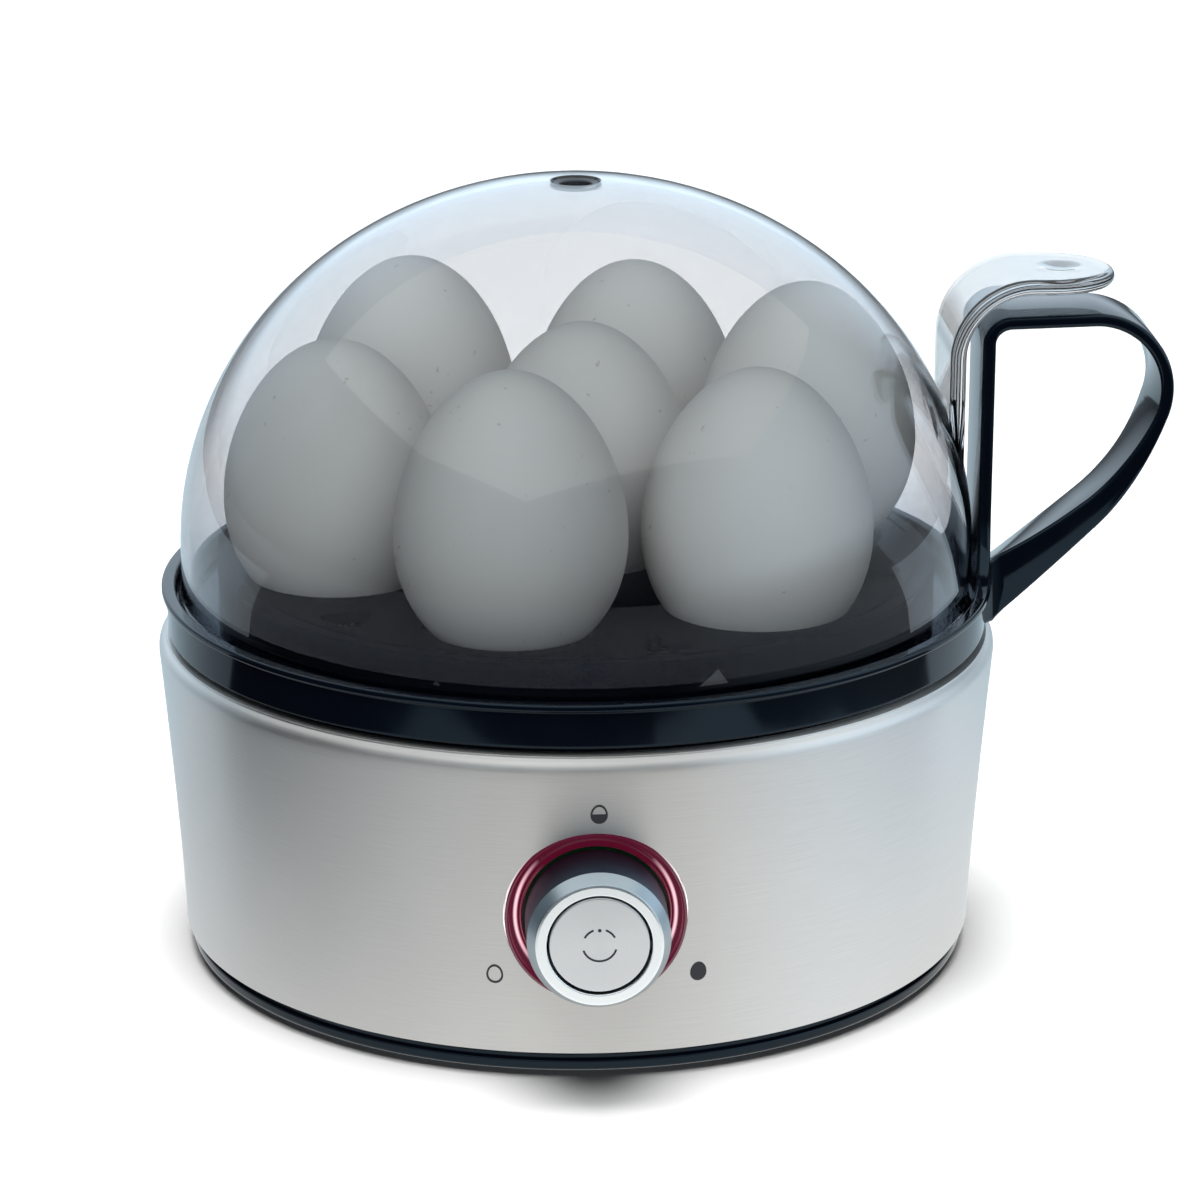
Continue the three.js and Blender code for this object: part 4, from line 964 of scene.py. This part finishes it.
def make_tab():
    """The thumb tab: a bent clear strip with rounded edges, a round tip and a thumb dimple."""
    half = TAB["half"]
    edge = TAB["thick"] / 2
    straight = TAB["bend_z"] - TAB["low"]
    bend = TAB["bend_r"] * math.pi / 2
    length = straight + bend + TAB["tip_x"] - (TAB["x"] + TAB["bend_r"])
    tip_start = length - half
    rows = [tip_start * k / 70 for k in range(70)]
    rows += [tip_start + half * math.sin(math.pi / 2 * k / 26) for k in range(27)]
    columns = 48
    dimple = length - TAB["dimple_back"]
    verts = []
    for top in (1, -1):
        for s in rows:
            beyond = max(s - tip_start, 0.0)
            width = math.sqrt(max(half * half - beyond * beyond, 0.0))
            for j in range(columns + 1):
                v = -math.cos(math.pi * j / columns)
                y = v * width
                inside = half - math.hypot(beyond, y)
                rise = edge * math.sqrt(max(0.0, 1 - (1 - min(inside / edge, 1.0)) ** 2))
                if top > 0:
                    away = math.hypot(s - dimple, y) / TAB["dimple_r"]
                    if away < 1:
                        rise -= TAB["dimple"] * (1 - away * away) ** 2
                (px, pz), (nx, nz) = tab_path(s)
                verts.append((px + nx * rise * top, y, pz + nz * rise * top))
    row = columns + 1
    sheet = len(rows) * row
    faces = []
    for side in (0, sheet):
        for i in range(len(rows) - 1):
            for j in range(columns):
                a = side + i * row + j
                faces.append([a, a + 1, a + row + 1, a + row])
    faces.append([*range(row), *(sheet + j for j in reversed(range(row)))])
    return new_object("tab", verts, faces)


def make_lid():
    """The hollow dome joined to its tab, with a bushed steam vent in its crown."""
    lid = revolve("clear_dome", dome_outline(0.0, DOME["bottom"], DOME["flange"]), segments=224)
    boolean(lid, [make_tab()], "UNION")
    inside = revolve("inside", dome_outline(DOME["wall"], DOME["bottom"] - 1), segments=224)
    boolean(lid, [inside])
    r = DOME["vent"]
    vent = [(0, 150), (r, 150), (r, 166.3), (r + 0.6, 167.0), (r + 0.6, 172), (0, 172)]
    boolean(lid, [revolve("vent", vent, segments=64)])
    dress(lid, "lid", "clear_plastic", CLEAR, "lid_dome")
    crown = DOME["spring"] + DOME["height"]
    outline = rounded([(3.4, crown - 2.7, 0.2), (5.4, crown - 2.7, 0.2), (5.4, crown - 2.2, 0.2),
                       (4.9, crown - 2.2, 0.1), (4.9, crown - 0.5, 0.2), (3.4, crown - 0.9, 0.4)])
    bush = revolve("vent_bush", outline, segments=64)
    dress(bush, "lid", "dark_plastic", INK, "lid_vent_bush")


# ---------------------------------------------------------------- CAD nodes that stay

KEPT = {
    "dark_plastic": DARK, "fastener_steel": ZINC, "cast_aluminium": ALUMINIUM,
    "circuit_board": BOARD,
    "white_part": CERAMIC, "wire_sleeve": SLEEVE, "foot_rubber": RUBBER, "gloss_black": BLACK,
    "seal_silicone": SILICONE, "pan_steel": PAN_STEEL, "satin_silver": SILVER, "shell_steel": STEEL,
    "clear_plastic": CLEAR, "red_light": RED,
}


def dress_kept_nodes():
    """Gives every CAD node the material of its slot."""
    slots = {row["node"]: row["material_slot"] for row in frame["record"]["subparts"]}
    for name, obj in frame["nodes"].items():
        material = KEPT[slots[name]]
        if not obj.material_slots:
            obj.data.materials.append(material)
        for place in obj.material_slots:
            place.material = material


# ---------------------------------------------------------------- stage: eggs, floor, light, camera

def make_egg(name, x, y, top):
    """One egg, blunt end down, as a stage prop on the carrier."""
    wide, tall, blunt = EGG_SIZE["wide"], EGG_SIZE["tall"], EGG_SIZE["blunt"]
    outline = []
    steps = 40
    for k in range(steps + 1):
        a = -math.pi / 2 + math.pi * k / steps
        h = math.sin(a)
        r = wide / 2 * math.cos(a) * (1 - blunt * h) / (1 + blunt * blunt / 2)
        outline.append((0.0 if k in (0, steps) else r, top - tall / 2 + tall / 2 * h))
    egg = revolve(name, outline, segments=72, at=(x, y, 0))
    egg.data.materials.append(EGG)
    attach(egg, "carrier")


def make_eggs():
    for k, ((x, y), top) in enumerate(zip(seat_places(), EGG_TOPS)):
        shift = EGG_SIZE["middle_shift"] if k == 0 else 0.0
        make_egg(f"egg_{k + 1}", x + shift, y, top)


def make_floor():
    """The table top. It is dim to rays mirrored on their way, so it shines little in the lid."""
    mesh = bpy.data.meshes.new("floor")
    mesh.from_pydata([(-4, -4, 0), (4, -4, 0), (4, 6, 0), (-4, 6, 0)], [], [[0, 1, 2, 3]])
    floor = bpy.data.objects.new("floor", mesh)
    material, nodes, shader = new_material("pale_floor")
    set_values(shader, Base_Color=(0.4, 0.4, 0.4), Roughness=0.7, Specular_IOR_Level=0.1)
    light = nodes.add("ShaderNodeLightPath")
    mirrored = nodes.math("GREATER_THAN", light.outputs["Glossy Depth"], 0.5)
    dim = nodes.add("ShaderNodeBsdfDiffuse")
    dim.inputs["Color"].default_value = (0.16, 0.169, 0.18, 1.0)
    nodes.mix_shader(mirrored, shader.outputs[0], dim.outputs[0])
    mesh.materials.append(material)
    bpy.context.scene.collection.objects.link(floor)
    floor.visible_glossy = False
    floor.visible_diffuse = False


def aim(obj, target):
    """Turns a lamp or the camera to look at a point."""
    obj.rotation_mode = "QUATERNION"
    obj.rotation_quaternion = (Vector(target) - obj.location).to_track_quat("-Z", "Y")


def towards(azimuth, elevation):
    """The direction from the axis at an azimuth from the front and an elevation, in degrees."""
    a, e = math.radians(azimuth), math.radians(elevation)
    return math.sin(a) * math.cos(e), -math.cos(a) * math.cos(e), math.sin(e)


def make_world():
    """A soft room in reflections: brighter behind and to the right, and dark below the horizon.
    The camera sees it white, straight or through the lid."""
    world = bpy.data.worlds.new("studio")
    bpy.context.scene.world = world
    world.use_nodes = True
    nodes = Nodes(world.node_tree)
    background = world.node_tree.nodes["Background"]
    world.cycles_visibility.diffuse = False
    direction = nodes.add("ShaderNodeTexCoord").outputs["Generated"]
    light = WORLD_BASE
    for azimuth, elevation, low, amount in WORLD_LOBES:
        dot = nodes.add("ShaderNodeVectorMath", operation="DOT_PRODUCT")
        nodes.link(direction, dot.inputs[0])
        dot.inputs[1].default_value = towards(azimuth, elevation)
        lobe = nodes.remap(dot.outputs["Value"], 0.0, amount, low, 1.0)
        light = nodes.math("ADD", lobe, light)
    height = nodes.add("ShaderNodeSeparateXYZ")
    nodes.link(direction, height.inputs[0])
    above = nodes.remap(height.outputs[2], HORIZON["below"], 1.0, HORIZON["low"], HORIZON["high"])
    light = nodes.math("MULTIPLY", light, above)
    path = nodes.add("ShaderNodeLightPath").outputs
    straight = nodes.math("LESS_THAN", path["Glossy Depth"], 0.5)
    through = nodes.math("MULTIPLY", path["Is Transmission Ray"], straight)
    seen = nodes.math("MAXIMUM", path["Is Camera Ray"], through)
    white = nodes.math("MULTIPLY", seen, WORLD_SEEN)
    nodes.link(nodes.math("MAXIMUM", light, white), background.inputs["Strength"])
    nodes.link(nodes.mix_colour(seen, WORLD_COLOUR, (1.0, 1.0, 1.0)), background.inputs["Color"])


def floor_link(name, state):
    """A light's receivers: the floor alone, or everything but the floor."""
    receivers = bpy.data.collections.new(name)
    receivers.objects.link(bpy.data.objects["floor"])
    receivers.collection_objects[0].light_linking.link_state = state
    return receivers


def place_lamp(light, place, target, link):
    """Puts a lamp in the scene that leaves no reflection of itself."""
    lamp = bpy.data.objects.new(light.name, light)
    lamp.location = AXIS + Vector(place)
    bpy.context.scene.collection.objects.link(lamp)
    aim(lamp, AXIS + Vector(target))
    lamp.visible_glossy = False
    lamp.visible_transmission = False
    lamp.light_linking.receiver_collection = floor_link(light.name + "_receivers", link)
    return lamp


def make_sun(name, sun, link):
    """A wide soft light from above."""
    light = bpy.data.lights.new(name, "SUN")
    light.color = sun["colour"]
    light.energy = sun["energy"]
    light.angle = math.radians(sun["spread"])
    place_lamp(light, sun["place"], (0, 0, 0), link)


def make_front_lamp():
    """A lamp over the front of the table that only whitens the floor there."""
    light = bpy.data.lights.new("front_floor", "AREA")
    light.shape = "DISK"
    light.size = FRONT_LAMP["size"]
    light.energy = FRONT_LAMP["energy"]
    lamp = place_lamp(light, FRONT_LAMP["place"], FRONT_LAMP["target"], "INCLUDE")
    lamp.visible_camera = False


def glowing_sheet(name, sheet, colour):
    """A flat lit sheet that only shows in reflections."""
    corners = [(x, y, sheet["z"]) for x, y in sheet["corners"]]
    mesh = bpy.data.meshes.new(name)
    mesh.from_pydata(corners, [], [list(range(len(corners)))])
    material, _, shader = new_material(name)
    set_values(shader, Base_Color=(0.0, 0.0, 0.0), Specular_IOR_Level=0.0, Emission_Color=colour,
               Emission_Strength=sheet["glow"])
    mesh.materials.append(material)
    obj = bpy.data.objects.new(name, mesh)
    obj.location = AXIS
    obj.visible_camera = False
    obj.visible_shadow = False
    obj.visible_transmission = False
    obj.visible_diffuse = False
    bpy.context.scene.collection.objects.link(obj)
    return obj


def make_sheets():
    """The panel whose reflection veils the lid, and the table top as gloss and steel see it."""
    ceiling = glowing_sheet("ceiling", CEILING, (0.97, 1.0, 1.0))
    ceiling.light_linking.receiver_collection = floor_link("all_but_floor", "EXCLUDE")
    table = glowing_sheet("table_glow", TABLE_GLOW, (1.0, 1.0, 0.995))
    material = table.data.materials[0]
    nodes = Nodes(material.node_tree)
    shader = material.node_tree.nodes["Principled BSDF"]
    parts = nodes.add("ShaderNodeSeparateXYZ")
    nodes.link(object_mm(nodes), parts.inputs[0])
    left = nodes.remap(parts.outputs[0], 0.0, 1.0, -230.0, -20.0)
    right = nodes.remap(parts.outputs[0], 0.0, 1.0, 100.0, 230.0)
    behind = nodes.remap(parts.outputs[1], 0.0, 1.0, 60.0, 160.0)
    near = nodes.mix_colour(left, (0.5, 0.57, 0.63), (1.02, 1.02, 1.0))
    side = nodes.mix_colour(right, near, (0.84, 0.98, 1.1))
    nodes.link(nodes.mix_colour(behind, side, (0.62, 0.78, 0.88)), shader.inputs["Emission Color"])


def make_lights():
    make_world()
    make_sun("floor_light", FLOOR_SUN, "INCLUDE")
    make_sun("top_light", TOP_SUN, "EXCLUDE")
    make_front_lamp()
    make_sheets()


def make_camera():
    azimuth = math.radians(CAMERA["azimuth"])
    right = Vector((math.cos(azimuth), math.sin(azimuth), 0))
    back = Vector(towards(CAMERA["azimuth"], CAMERA["elevation"]))
    target = AXIS + Vector((0, 0, CAMERA["target_z"])) + right * CAMERA["target_right"]
    camera = bpy.data.objects.new("camera", bpy.data.cameras.new("camera"))
    camera.data.lens = CAMERA["lens"]
    camera.data.sensor_width = CAMERA["sensor"]
    camera.location = target + back * CAMERA["distance"]
    bpy.context.scene.collection.objects.link(camera)
    aim(camera, target)
    bpy.context.scene.camera = camera
    bpy.context.scene.view_settings.view_transform = "Standard"


make_camera()
dress_kept_nodes()
make_shell()
make_base()
make_feet()
for number, screw_x, screw_y, _ in around(4, SCREW_RING, math.radians(45)):
    make_screw(f"cover_screw_{number + 1}", screw_x, screw_y, 2.2, 3.2, f"base_screw_{number + 1}")
make_gland()
make_pan()
make_light_ring()
make_knob()
make_button()
make_signs()
make_rim()
make_handle()
make_tray()
make_lid()
make_eggs()
make_floor()
make_lights()
